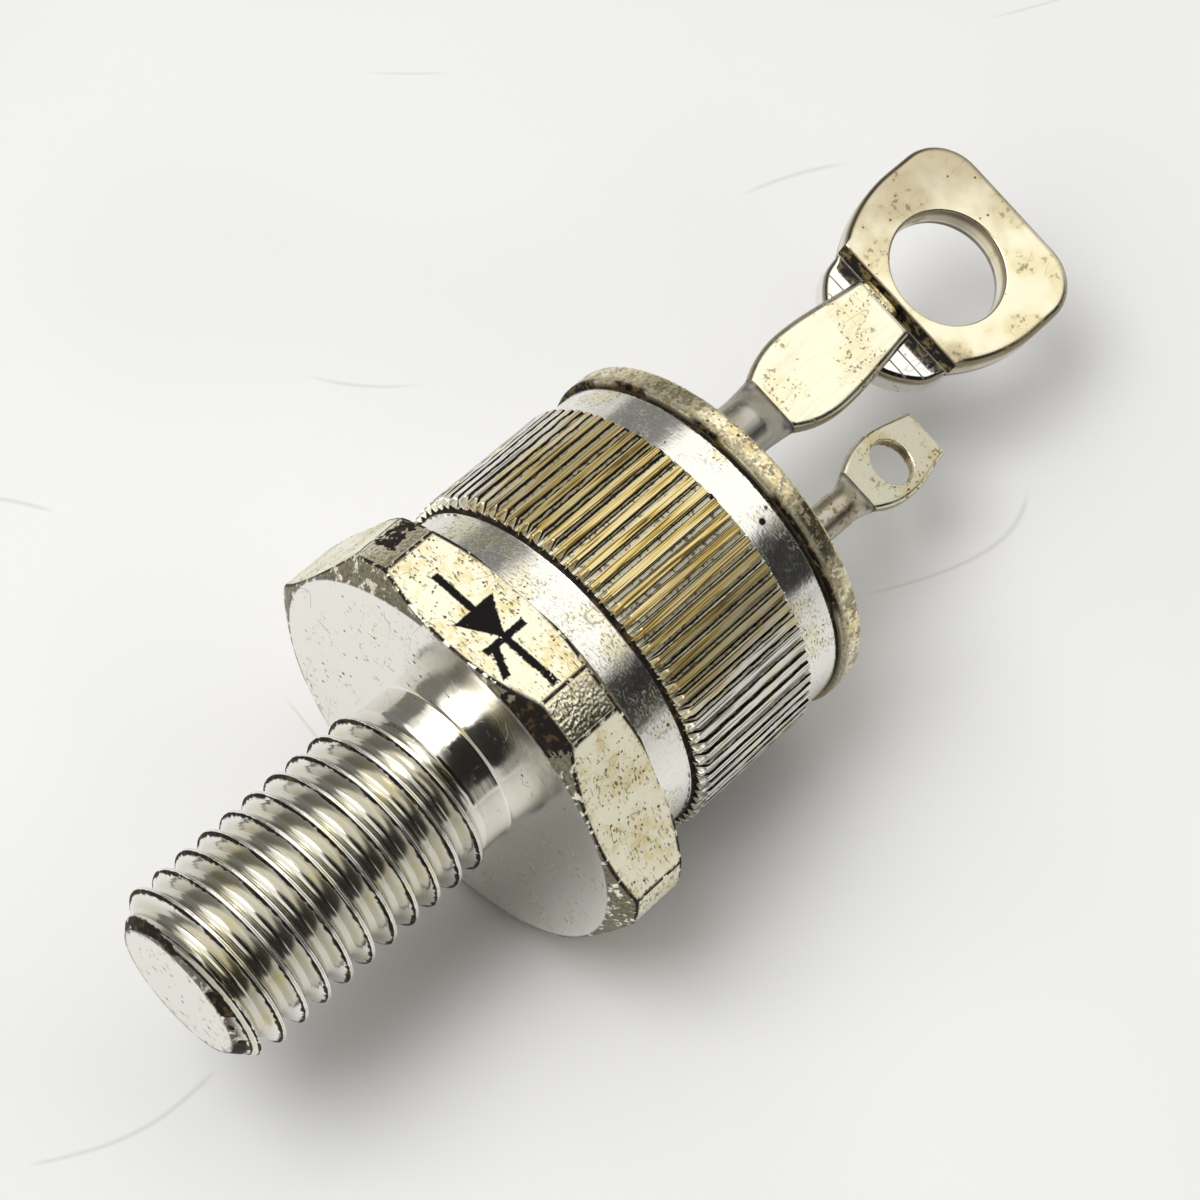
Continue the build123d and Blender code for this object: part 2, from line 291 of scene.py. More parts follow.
def dress(piece, node, material, smooth_angle, masks):
    """Carries a finished mesh into the row frame and gives it its masks, material and body."""
    mesh = piece.data
    device = np.zeros(len(mesh.vertices) * 3, np.float32)
    mesh.vertices.foreach_get("co", device)
    mesh.attributes.new("dev", "FLOAT_VECTOR", "POINT").data.foreach_set("vector", device)
    for name, values in masks.items():
        layer = mesh.attributes.new(name, "FLOAT", "POINT")
        layer.data.foreach_set("value", np.asarray(values, np.float32))
    mesh.transform(DEVICE)
    mesh.polygons.foreach_set("use_smooth", [True] * len(mesh.polygons))
    mesh.set_sharp_from_angle(angle=radians(smooth_angle))
    mesh.materials.clear()
    mesh.materials.append(material)
    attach(piece, "root")
    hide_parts(node)


# ---------------------------------------------------------------- stud and hexagon

# How many pieces each run of the hexagon's rounded profile is cut into, from the blank's neck over
# the seat face, the side and the shoulder to the axis. The runs of a rounded corner stay whole.
HEX_RUNS = (3, 1, 1, 1, 1, 9, 1, 1, 1, 1, 3, 1, 1, 1, 1, 11, 1, 1, 1, 1, 3, 1, 1, 1, 1, 4, 1)

THREAD_SHAPE = (  # share of the pitch from the crest, share of the depth
    (0.0, 0.045), (0.022, 0.0), (0.055, 0.0), (0.085, 0.07), (0.14, 0.26), (0.24, 0.62),
    (0.33, 0.9), (0.38, 0.975), (0.44, 1.0),
)


def hexagon_radius(angles):
    """Distance of the hexagon's side from the axis: flats, with the corners turned off."""
    step = pi / 3
    from_flat = (angles - HEX_TURN + step / 2) % step - step / 2
    return soft_min(FLAT_R / np.cos(from_flat), np.full_like(angles, CORNER_R), 0.06)


def base_angles():
    """Columns round the stud and hexagon, closer together at the hexagon's upright edges."""
    half_flat = acos(FLAT_R / CORNER_R)
    angles = list(np.radians(np.arange(0, 360, 2.0)))
    for flat in range(6):
        for side in (-half_flat, half_flat):
            edge = HEX_TURN + flat * pi / 3 + side
            angles += [edge + radians(d) for d in (-1.1, -0.7, -0.4, -0.15, 0.15, 0.4, 0.7, 1.1)]
    angles = np.sort(np.mod(angles, 2 * pi))
    keep = [0]
    for index in range(1, len(angles)):
        if angles[index] - angles[keep[-1]] > radians(0.12):
            keep.append(index)
    return angles[keep]


def stud_thread(angles):
    """The thread as one spiral grid: positions, faces, and each point's dirt and share of the pitch."""
    half = list(THREAD_SHAPE)
    shape = np.array(half + [(0.5, 1.0)] + [(1 - share, depth) for share, depth in reversed(half[1:])])
    columns, per_turn = len(angles), len(shape)
    turns = ceil(STUD_LENGTH / THREAD_PITCH) + 3
    rows = turns * per_turn
    shares = np.tile(shape[:, 0], turns)
    along = (np.repeat(np.arange(turns), per_turn) + shares)[:, None] + angles / (2 * pi)
    turns_below = 4  # how many turns start lower than the crest that the phase is given for
    heights = THREAD_PHASE + THREAD_PITCH * (along - turns_below)
    depths = repeated(np.tile(shape[:, 1], turns), columns)
    low_z, high_z = -STUD_LENGTH, RUNOUT_END + 0.05
    fade = smooth((heights - RUNOUT_END) / (RUNOUT_START - RUNOUT_END))
    radius = BLANK_R + (THREAD_R - THREAD_DEPTH * depths - BLANK_R) * fade
    radius = radius + ROLLED_UNEVEN * fade * round_wobble(angles, 3, heights, 2.2, seed=4)
    radius = soft_min(radius, TIP_R + heights - low_z, 0.08)
    radius = np.where(heights <= low_z, TIP_R, np.where(heights >= high_z, BLANK_R, radius))

    patchy = round_wobble(angles, 4, heights, 3.1, seed=17)
    finer = round_wobble(angles, 9, heights, 6.0, seed=18)
    line = np.interp(depths, (0.0, 0.04, 0.07, 0.26, 0.5), (0.3, 0.25, 1.0, 0.45, 0.0))
    crest = fade * line * (0.6 + 0.4 * smooth((patchy * 0.5 + finer * 0.5 + 0.3) / 0.4))
    valley = fade * smooth((depths - 0.7) / 0.3) * smooth((patchy - 0.2) / 0.6) * 0.3

    def right_of(row, column):
        """Index of the next point round the thread, which is a turn up from the last column."""
        if column < columns - 1:
            return row * columns + column + 1
        return min(row + per_turn, rows - 1) * columns

    faces = [
        (i * columns + j, right_of(i, j), right_of(i + 1, j), (i + 1) * columns + j)
        for i in range(rows - 1) for j in range(columns)
    ]
    grid = lathe_rows(angles, radius, np.clip(heights, low_z, high_z))
    return grid, faces, np.maximum(crest, valley), repeated(shares, columns)


def hexagon_grid(angles):
    """The hexagon and the bare blank under it, as a grid from the blank's neck to the axis."""
    profiles, least_chamfer, under_case = [], 0.05, 5.2
    for value in hexagon_radius(angles):
        face_r = min(SEAT_R, value - least_chamfer)
        top_r = min(SHOULDER_R, value - least_chamfer)
        corners = [
            (BLANK_R, RUNOUT_END + 0.05), (BLANK_R, 0.0), (face_r, 0.0),
            (value, (value - face_r) * SEAT_SLOPE), (value, HEX_TOP - (value - top_r) * SHOULDER_SLOPE),
            (top_r, HEX_TOP), (under_case, HEX_TOP), (0.0, HEX_TOP),
        ]
        radii = [0, STUD_FILLET_R, HEX_EDGE_R, HEX_EDGE_R, HEX_EDGE_R, HEX_EDGE_R, 0, 0]
        profiles.append(cut_runs(rounded(corners, radii), HEX_RUNS))
    profiles = np.array(profiles).transpose(1, 0, 2)
    return lathe_rows(angles, profiles[:, :, 0], profiles[:, :, 1])


def tip_grime(points, reach):
    """Dirt round the stud's tip, broken into runs."""
    x, y, z = points.T
    broken = smooth((wobble(x, y, z, 1.6, seed=23) + 0.35 * wobble(x, y, z, 6.0, seed=24) + 0.35) / 0.5)
    return hump(z, -10.85, 0.16) * (reach > 2.2) * (reach < 2.9) * broken


def stud_base():
    """Stud with its rolled thread, and the hexagon."""
    angles = base_angles()
    columns = len(angles)
    thread, faces, dirt_and_shade, shares = stud_thread(angles)
    tip = lathe_rows(angles, TIP_RINGS, np.full(len(TIP_RINGS), -STUD_LENGTH))
    hexagon = hexagon_grid(angles)
    faces += ring_faces(len(tip), columns, dirt_and_shade.size)
    faces += ring_faces(len(hexagon), columns, dirt_and_shade.size + len(tip) * columns)
    vertices = np.concatenate([grid.reshape(-1, 3) for grid in (thread, tip, hexagon)])
    reach, height = np.hypot(vertices[:, 0], vertices[:, 1]), vertices[:, 2]
    grime, flank = np.zeros((2, len(vertices)))
    grime[:dirt_and_shade.size], flank[:dirt_and_shade.size] = dirt_and_shade.reshape(-1), shares.reshape(-1)
    grime = np.maximum(grime, tip_grime(vertices, reach))
    side = (reach > 6.95) & (height > 0.02) & (height < HEX_TOP - 0.02)
    points, faces, first = merged(vertices, faces)
    piece = make_object("stud_base_visual", points, faces)
    return piece, {"grime": grime[first], "flank": flank[first], "side": side[first]}


# ---------------------------------------------------------------- knurled case

# Where the columns stand across one tooth, from groove to groove.
TOOTH_SHARES = (0.0, 0.10, 0.14, 0.185, 0.225, 0.25, 0.375, 0.5, 0.625, 0.75, 0.775, 0.815, 0.86, 0.90)
FLANK_FEET, LAND_EDGES = (0.14, 0.86), (0.225, 0.775)
TOOTH_PHASE = radians(0.15)
FLANK = 0.09  # share of a tooth's width taken by each flank
NIB_LENGTH = 0.5
NIB_RISE = 0.14
LAND_RELIEF = 0.014


def tooth_columns():
    """Angles of the case's columns, the share of its tooth that each has, and its tooth's number."""
    shares = np.tile(TOOTH_SHARES, TEETH)
    numbers = np.repeat(np.arange(TEETH), len(TOOTH_SHARES))
    drift = np.random.default_rng(12).normal(0, 0.018, TEETH)[numbers]
    angles = (numbers + shares + drift * np.sin(pi * shares)) / TEETH * 2 * pi + TOOTH_PHASE
    return angles, shares, numbers


def eased(x):
    """A flank's ramp from 0 to 1, with its upper corner eased."""
    x = np.clip(x, 0.0, 1.25)
    return np.where(x < 0.85, x, 0.85 + 0.15 * np.sin(np.clip((x - 0.85) / 0.3, 0, 1) * pi / 2))


def tooth_height(shares, numbers, z):
    """At each column of a row at height z: share of the tooth's full height, and of its flank's."""
    rng = np.random.default_rng(5)
    width = (LAND / 2 + 0.01 + rng.normal(0, 0.012, TEETH))[numbers]
    foot = (KNURL_Z + 0.06 + rng.normal(0, 0.03, TEETH))[numbers]
    nib = np.sqrt(np.clip((z - foot) / NIB_LENGTH, 0.0, 1.0))
    rise = np.sqrt(np.clip((z - foot) / NIB_RISE, 0.0, 1.0))
    ragged = 0.012 * wobble(numbers * 3.7, z * 3.0, np.sign(shares - 0.5) * 2.0, 1.7, seed=8)
    top = (width * nib + FLANK + ragged - np.abs(shares - 0.5)) / FLANK
    return eased(top) * rise, np.clip(top, 0.0, 1.0) * np.sign(rise)


def knurl_rows(angles, shares, numbers, heights):
    """Radius of every point of the knurl, and how far up its tooth's flank it is."""
    radii, levels = [], []
    for z in heights:
        ends = eased(np.full(len(angles), (NECK_Z + 0.02 - z) / 0.06))
        height, flank = tooth_height(shares, numbers, z)
        sway = 0.008 * round_wobble(angles, 5, z, 1.1, seed=3)
        lines = LAND_RELIEF * wobble(numbers * 2.3 + shares * 9.0, shares * 14.0, z * 0.35, 1.0, seed=11)
        on_land = np.abs(shares - 0.5) < 0.2
        radii.append(ROOT_R + (CREST_R - ROOT_R + sway - np.abs(lines) * on_land) * height * ends)
        levels.append(np.minimum(flank, ends))
    return np.array(radii), np.array(levels)


def case_grime_and_shade(vertices, crest, groove):
    """Painted shade of the case, broken up by noise: beside each land and at the flanks' feet, in the
    seam and pockets below the teeth, on the shelf at the neck and under the flange.
    """
    x, y, z = vertices.T
    patchy = 0.7 * wobble(x, y, z, 1.3, seed=25) + 0.4 * wobble(x, y, z, 5.0, seed=26)
    grooves = groove * (0.75 + 0.25 * smooth((patchy + 0.6) / 0.8))
    seam = hump(z, KNURL_Z + 0.01, 0.035) * smooth((patchy + 0.9) / 0.5)
    pockets = (z > KNURL_Z) * smooth((KNURL_Z + 0.2 - z) / 0.1) * (1 - crest)
    shelf = hump(z, NECK_Z + 0.03, 0.05) * smooth((patchy + 0.1) / 0.5) * 0.8
    under_flange = smooth((z - CASE_TOP + 0.1) / 0.04)
    outside = np.hypot(x, y) > FOOT_R - 0.1
    return np.maximum(grooves, np.maximum.reduce([seam, pockets, shelf, under_flange]) * outside)


def knurled_case():
    """Case as one closed grid: foot, knurl, neck, weld seat and bore."""
    angles, shares, numbers = tooth_columns()
    columns = len(angles)
    foot = rounded(
        [
            (0, FOOT_Z), (FOOT_R, FOOT_Z), (FOOT_R, KNURL_Z - 0.2), (FOOT_R, KNURL_Z - 0.04),
            (ROOT_R - 0.02, KNURL_Z + 0.04),
        ],
        [0, FOOT_EDGE_R, 0, 0.03, 0], steps=6,
    )
    neck = rounded(
        [
            (NECK_R, NECK_Z + 0.06), (NECK_R, NECK_Z + 0.16), (NECK_R, CASE_TOP - 0.2),
            (NECK_R, CASE_TOP), (BORE_R, CASE_TOP), (BORE_R, BORE_FLOOR), (0, BORE_FLOOR),
        ],
        [0, 0, 0, 0.07, 0.05, 0.1, 0], steps=3,
    )
    heights = np.concatenate([
        np.linspace(KNURL_Z + 0.05, KNURL_Z + LEAD_IN, 18),
        np.linspace(KNURL_Z + LEAD_IN, NECK_Z - 0.05, 24)[1:],
        [NECK_Z - 0.02, NECK_Z],
    ])
    knurl, level = knurl_rows(angles, shares, numbers, heights)
    dents = 0.012 * round_wobble(angles, 6, 0, 0.6, seed=9)
    foot_r, neck_r = repeated(foot[:, 0], columns), repeated(neck[:, 0], columns)
    foot_r = foot_r + dents * (foot_r > FOOT_R - 0.05)
    neck_r = neck_r + dents * (neck_r > NECK_R - 0.05)
    radius = np.concatenate([foot_r, knurl, neck_r])
    height = repeated(np.concatenate([foot[:, 1], heights, neck[:, 1]]), columns)
    grid = lathe_rows(angles, radius, height)
    crest, groove = np.zeros((2, *radius.shape))
    teeth = slice(len(foot), len(foot) + len(heights))
    crest[teeth] = smooth((level - 0.7) / 0.2)
    # Painted shade lines at the flanks' feet and the lands' edges.
    groove[teeth] = np.isin(shares, FLANK_FEET + LAND_EDGES)
    crest = crest.reshape(-1)
    grime = case_grime_and_shade(grid.reshape(-1, 3), crest, groove.reshape(-1))
    piece, first = grid_object("knurled_case_visual", grid)
    return piece, {"crest": crest[first], "grime": grime[first]}


# ---------------------------------------------------------------- header and glass

LATHE_COLUMNS = 240
LATHE_ANGLES = np.arange(LATHE_COLUMNS) * 2 * pi / LATHE_COLUMNS
SMEAR_DEPTH = 0.085  # how far the weld's metal hangs over the groove under the flange


def header_shell():
    """Turned header: weld ring, flange, collar and skirt, as a closed loop swept round the axis."""
    seam = (COLLAR_IN_R, (SKIRT_Z + COLLAR_TOP) / 2)
    loop = rounded(
        [
            seam, (COLLAR_IN_R, SKIRT_Z), (SKIRT_R, SKIRT_Z), (SKIRT_R, FLANGE_Z),
            (WELD_IN_R, FLANGE_Z), (WELD_IN_R, CASE_TOP), (WELD_R, CASE_TOP), (WELD_R, FLANGE_Z),
            (FLANGE_R, FLANGE_Z), (FLANGE_R, FLANGE_TOP), (COLLAR_R, FLANGE_TOP),
            (COLLAR_R, COLLAR_TOP), (COLLAR_IN_R, COLLAR_TOP), seam,
        ],
        [0, 0.05, 0.05, 0.05, 0.02, 0.02, 0.02, 0.02, 0.07, FLANGE_EDGE_R, 0.15, COLLAR_EDGE_R, 0.12, 0],
        steps=5,
    )
    loop = subdivided(loop, 0.25)[:-1]
    radius, height = repeated(loop[:, 0], len(LATHE_ANGLES)), repeated(loop[:, 1], len(LATHE_ANGLES))
    outer = smooth((radius - WELD_R - 0.05) / 0.1)
    smeared = smooth((round_wobble(LATHE_ANGLES, 4, 0, 1.3, seed=21) - 0.1) / 0.3)
    height = height - SMEAR_DEPTH * outer * smooth((FLANGE_Z + 0.25 - height) / 0.2) * smeared
    radius = radius + outer * 0.012 * round_wobble(LATHE_ANGLES, 5, height, 0.9, seed=6)
    grid = lathe_rows(LATHE_ANGLES, radius, height)
    x, y, z = grid.reshape(-1, 3).T
    patchy = wobble(x, y, z, 1.2, seed=27) + 0.4 * wobble(x, y, z, 5.0, seed=28)
    # Painted shade: dark under the flange, a little less where the weld's smear hangs over, and in patches
    # in the corner between the flange's top and the collar.
    under = outer.reshape(-1) * hump(z, FLANGE_Z, 0.1) * (1 - 0.35 * np.tile(smeared, len(loop)))
    inner_corner = hump(np.hypot(x, y), COLLAR_R + 0.1, 0.16) * hump(z, FLANGE_TOP, 0.15)
    grime = np.maximum(under, inner_corner * smooth((patchy + 0.5) / 0.6) * 0.8)
    piece, first = grid_object("header_shell_visual", grid, closed_rows=True)
    return piece, {"grime": grime[first]}


def header_glass():
    """Glass bead: it climbs a little at the collar and at both terminals."""
    rim = 0.6  # breadth of the closely spaced rings at the collar
    outer_rings = COLLAR_IN_R - rim * (1 - np.linspace(0, 1, 14)[1:]) ** 1.5
    rings = np.concatenate([np.linspace(0, COLLAR_IN_R - rim, 34), outer_rings])[:, None]
    x, y = rings * np.cos(LATHE_ANGLES), rings * np.sin(LATHE_ANGLES)
    climb = 0.16 * np.exp(-(COLLAR_IN_R - rings) / 0.16)
    for terminal in (CATHODE, GATE):
        gap = np.hypot(x, y - terminal["offset"]) - terminal["tube_r"]
        climb = climb + 0.17 * np.exp(-np.clip(gap, 0, None) / 0.17)
    top = GLASS_TOP - 0.12 + climb + 0.01 * wobble(x, y, 0, 0.8, seed=30)
    upper = np.stack([x, y, np.minimum(top, GLASS_TOP + 0.06)], axis=2)
    lower = np.stack([x, y, np.full_like(x, GLASS_Z)], axis=2)
    piece, _ = grid_object("header_glass_visual", np.concatenate([lower, upper[::-1]]))
    return piece, {}


# ---------------------------------------------------------------- flattened tubes

FRONT_POINTS, EDGE_POINTS = 22, 14
TUBE_STEP = 0.4
PRESS_STEPS, PRESS_CURVE = 15, 1.35
CUT_END_R = 0.05
BLADE_UNEVEN = 0.012


def round_section(radius):
    """Points of a round section, depth and breadth, counted from the broad front face."""
    front = np.linspace(-68, 68, FRONT_POINTS, endpoint=False)
    right = np.linspace(68, 112, EDGE_POINTS, endpoint=False)
    angles = np.radians(np.concatenate([front, right, front + 180, right + 180]))
    return np.stack([radius * np.cos(angles), radius * np.sin(angles)], axis=1)


def flat_section(half_width, half_thickness, edge_r):
    """Points of a flat section with rounded edges, one for each point of the round section."""
    edge_r = min(edge_r, half_thickness)
    straight, depth = half_width - edge_r, half_thickness - edge_r
    breadth = np.linspace(-straight, straight, FRONT_POINTS, endpoint=False)
    turn = np.radians(np.linspace(0, 180, EDGE_POINTS, endpoint=False))
    front = np.stack([np.full(FRONT_POINTS, half_thickness), breadth], axis=1)
    bow = np.where(turn < pi / 2, depth, -depth)
    right = np.stack([edge_r * np.cos(turn) + bow, straight + edge_r * np.sin(turn)], axis=1)
    return np.concatenate([front, right, -front, -right])


def blade_half_width(terminal, height):
    """Half the blade's width at a height above the crease: a curve through its three widths."""
    (_, foot), (belly_height, belly), (length, tip) = terminal["widths"]
    if height < belly_height:
        start, end, a, b, slope_a, slope_b = 0.0, belly_height, foot, belly, FLARE_SLOPE * 2, 0.0
    else:
        start, end, a, b, slope_a, slope_b = belly_height, length, belly, tip, 0.0, TAPER_SLOPE * 2
    span = end - start
    t = (height - start) / span
    width = (
        (2 * t**3 - 3 * t**2 + 1) * a + (t**3 - 2 * t**2 + t) * span * slope_a
        + (3 * t**2 - 2 * t**3) * b + (t**3 - t**2) * span * slope_b
    )
    return width / 2


def terminal_grid(terminal, step):
    """Sections of a flattened tube from its foot to its cut end, and 1 for each that is on the blade."""
    crease, flare, radius = terminal["crease_z"], terminal["flare"], terminal["tube_r"]
    thick, length, lean = terminal["half_thickness"], terminal["widths"][-1][0], terminal["lean"]
    rows, on_blade = [], []

    def place(section, height, blade):
        """Adds a section at a height above the crease, leaning with the blade."""
        depth, breadth = section.T
        leant = lean if height > 0 else 0.0
        x = depth * cos(leant) - sin(leant) * height
        z = crease + depth * sin(leant * smooth(height / 0.5)) + cos(leant) * height
        rows.append(np.stack([x, breadth + terminal["offset"], z], axis=1))
        on_blade.append(blade)

    tube = round_section(radius)
    for z in np.arange(TUBE_FOOT, crease - flare, TUBE_STEP):
        place(tube, z - crease, 0.0)
    pressed = flat_section(blade_half_width(terminal, 0.0), thick, thick * 0.9)
    for share in np.linspace(0, 1, PRESS_STEPS):
        bend = share ** PRESS_CURVE
        place(tube * (1 - bend) + pressed * bend, -flare * (1 - share) - 0.015, 0.0)
    end = [length - 0.05, length - 0.02, length]
    for height in np.concatenate([[0.02], np.arange(step, length - 0.06, step), end]):
        inset = CUT_END_R * max(0.0, (height - length + CUT_END_R) / CUT_END_R) ** 2
        half_width = blade_half_width(terminal, height) - inset
        place(flat_section(half_width, thick - inset, terminal["edge_r"]), height, 1.0)
    return np.array(rows), on_blade


def terminal_object(name, terminal, step, seed):
    """A closed terminal, its blade very slightly uneven, and the blade's mask."""
    grid, on_blade = terminal_grid(terminal, step)
    blade = repeated(on_blade, grid.shape[1])
    x, y, z = np.moveaxis(grid, 2, 0)
    grid[:, :, 0] += BLADE_UNEVEN * wobble(x, y, z, 1.4, seed=seed) * blade
    piece, first = grid_object(name, capped(grid))
    blade = np.vstack([blade[:1], blade, blade[-1:]])
    return piece, blade.reshape(-1)[first]


def cathode_tube():
    """Cathode terminal."""
    piece, blade = terminal_object("cathode_tube_visual", CATHODE, 0.14, seed=14)
    return piece, {"blade": blade}


def hole_cutter(name, radius, half_depth, turn, centre):
    """A cutter for a hole whose two rims are rounded: it flares where it meets each face."""
    rim_r, beyond, columns = 0.05, 0.4, 96
    profile = [(0.0, -half_depth - beyond), (radius + rim_r + beyond, -half_depth - beyond)]
    for t in np.linspace(0, pi / 2, 6):
        profile.append((radius + rim_r * (1 - sin(t)), -half_depth + rim_r * (1 - cos(t)) - 1e-4))
    profile += [(r, -z) for r, z in reversed(profile)]
    profile = np.array(profile)
    grid = lathe_rows(np.arange(columns) * 2 * pi / columns, profile[:, 0], profile[:, 1])
    points, faces, _ = merged(grid.reshape(-1, 3), ring_faces(len(grid), columns))
    return make_object(name, [turn @ Vector(point) + centre for point in points], faces)


def gate_tube():
    """Gate terminal with its pierced blade."""
    piece, _ = terminal_object("gate_tube_visual", GATE, 0.09, seed=15)
    lean, crease = GATE["lean"], GATE["crease_z"]
    normal, along = Vector((cos(lean), 0, sin(lean))), Vector((-sin(lean), 0, cos(lean)))
    turn = Matrix((along, Vector((0, -1, 0)), normal)).transposed()
    centre = Vector((0, GATE["offset"], crease)) + along * GATE_HOLE_AT
    cutter = hole_cutter("gate_hole_cutter", GATE_HOLE_R, GATE["half_thickness"], turn, centre)
    piece = apply_boolean(piece, cutter, "DIFFERENCE")
    return piece, {"blade": [vertex.co.z > crease + 0.01 for vertex in piece.data.vertices]}


# ---------------------------------------------------------------- lug and solder

OUTLINE_SPACING = 0.17
PLATE_UNEVEN = 0.012
SOLDER_START, SOLDER_LENGTH = 0.1, 1.7
SOLDER_OUT, SOLDER_HALF_DEPTH, SOLDER_HALF_HEIGHT, SOLDER_END_R = 0.31, 0.30, 0.26, 0.004


def arc(centre, radius, start, end, count):
    """Points of an arc, angles in degrees, both ends included."""
    turns = np.radians(np.linspace(start, end, count))
    return [(centre[0] + radius * cos(t), centre[1] + radius * sin(t)) for t in turns]


def even_points(points):
    """A closed outline resampled finely, its own points kept."""
    points = [np.array(p, float) for p in points]
    out = []
    for a, b in zip(points, points[1:] + points[:1]):
        length = np.linalg.norm(b - a)
        if length > 1e-6:
            pieces = ceil(length / OUTLINE_SPACING)
            out += [a + (b - a) * k / pieces for k in range(pieces)]
    return np.array(out)


def plate_outline():
    """Plate seen from the front: breadth from its middle, height above the joggle, anticlockwise."""
    drop = LUG_HALF - LUG_WAIST
    shoulder_r = (LUG_SHOULDER**2 + drop**2) / (2 * drop)
    centre = (LUG_HALF - shoulder_r, LUG_SHOULDER)
    low = -degrees(atan2(LUG_SHOULDER, LUG_WAIST - centre[0]))
    right = arc(centre, shoulder_r, low, 0, 22)
    right += arc((LUG_HALF - LUG_CORNER, LUG_LENGTH - LUG_CORNER), LUG_CORNER, 0, 90, 16)
    return even_points(right + [(-u, v) for u, v in reversed(right)])


def tab_outline():
    """Tongue seen from the front, its end crowned and its corners rounded."""
    turns = np.radians(np.linspace(-180, 0, 61))
    side = LUG_WAIST / np.maximum(np.abs(np.cos(turns)), 1e-6)
    reach = soft_min(TAB_CROWN, side, 0.35)
    crown = zip(reach * np.cos(turns), TAB_CROWN - TAB_LENGTH + reach * np.sin(turns))
    end = [(u, v) for u, v in crown if v < TAB_WEB - 0.05]
    return even_points([(-LUG_WAIST, TAB_WEB)] + end + [(LUG_WAIST, TAB_WEB)])


def inward_normals(outline):
    """Unit normals of an anticlockwise outline, pointing in, lengthened at its corners."""
    ahead = np.roll(outline, -1, axis=0) - outline
    behind = outline - np.roll(outline, 1, axis=0)
    ahead = ahead / np.linalg.norm(ahead, axis=1)[:, None]
    behind = behind / np.linalg.norm(behind, axis=1)[:, None]
    normal = np.stack([-(ahead + behind)[:, 1], (ahead + behind)[:, 0]], axis=1)
    length = np.linalg.norm(normal, axis=1)[:, None]
    return normal / length * np.clip(2 / length, 1, 1.45)


def slab(name, outline, front_x, edge_r, hole=None, seed=0):
    """A stamped plate as a grid: front face, edge, back face, and its hole's wall if it has one."""
    normals = inward_normals(outline)
    back_r = np.minimum(edge_r, LUG_BACK_R)
    centre, hole_r, rim_r = (*hole, LUG_RIM_R) if hole else (outline.mean(axis=0), 0.0, 0.0)
    away = outline - centre
    directions = away / np.linalg.norm(away, axis=1)[:, None]
    rows = []

    def add(flat, depth):
        """Adds a row: points of the plate's own plane, and their depth behind its front."""
        x = front_x - depth + 0 * flat[:, 0]
        rows.append(np.column_stack([x, flat[:, 0] + LUG_MIDDLE, flat[:, 1] + JOGGLE_Z]))

    def outer(inset):
        """The outline moved in."""
        return outline + normals * np.reshape(inset, (-1, 1))

    def inner(extra):
        """The hole's outline moved out, or the middle of a plate that has no hole."""
        return centre + directions * (hole_r + extra)

    turns = np.linspace(0, pi / 2, 7)
    shares = np.linspace(0, 1, 16, endpoint=False)
    for share in shares:
        add(inner(rim_r) * (1 - share) + outer(edge_r) * share, 0.0)
    for turn in turns:
        add(outer(edge_r * (1 - sin(turn))), edge_r * (1 - cos(turn)))
    for share in (0.3, 0.6):
        add(outer(0 * edge_r), edge_r + (LUG_THICKNESS - edge_r - back_r) * share)
    for turn in turns[::-1]:
        add(outer(back_r * (1 - sin(turn))), LUG_THICKNESS - back_r * (1 - cos(turn)))
    for share in shares[::-1]:
        add(inner(rim_r) * (1 - share) + outer(back_r) * share, LUG_THICKNESS)
    if hole:
        for turn in turns[1:]:
            add(inner(rim_r * (1 - sin(turn))), LUG_THICKNESS - rim_r * (1 - cos(turn)))
        for turn in turns[:0:-1]:
            add(inner(rim_r * (1 - sin(turn))), rim_r * (1 - cos(turn)))
    grid = np.array(rows)
    grid[:, :, 0] += PLATE_UNEVEN * wobble(0, grid[:, :, 1], grid[:, :, 2], 0.8, seed=seed)
    return grid_object(name, grid, closed_rows=hole is not None)[0]


def lug_edge_r(rise):
    """Radius of the lug's edges, sharper at the joggle."""
    return JOGGLE_EDGE_R + (LUG_EDGE_R - JOGGLE_EDGE_R) * smooth(rise / 0.35)


def cathode_lug():
    """Ring lug: the plate with its hole, joined to the tongue behind it."""
    outline, tongue = plate_outline(), tab_outline()
    hole = ((LUG_HOLE_SIDE, LUG_HOLE_AT), LUG_HOLE_R)
    plate = slab("cathode_lug_visual", outline, LUG_FRONT, lug_edge_r(outline[:, 1]), hole, seed=40)
    tab = slab("tab", tongue, TAB_FRONT, lug_edge_r(0.1 - tongue[:, 1]), seed=41)
    turn = Matrix.Rotation(pi / 2, 3, "Y")
    centre = Vector((TAB_FRONT, LUG_MIDDLE + LUG_HOLE_SIDE, JOGGLE_Z + LUG_HOLE_AT))
    cutter = hole_cutter("lug_hole_cutter", LUG_HOLE_R + 0.01, 1.5, turn, centre)
    tab = apply_boolean(tab, cutter, "DIFFERENCE")
    return apply_boolean(plate, tab, "UNION"), {}


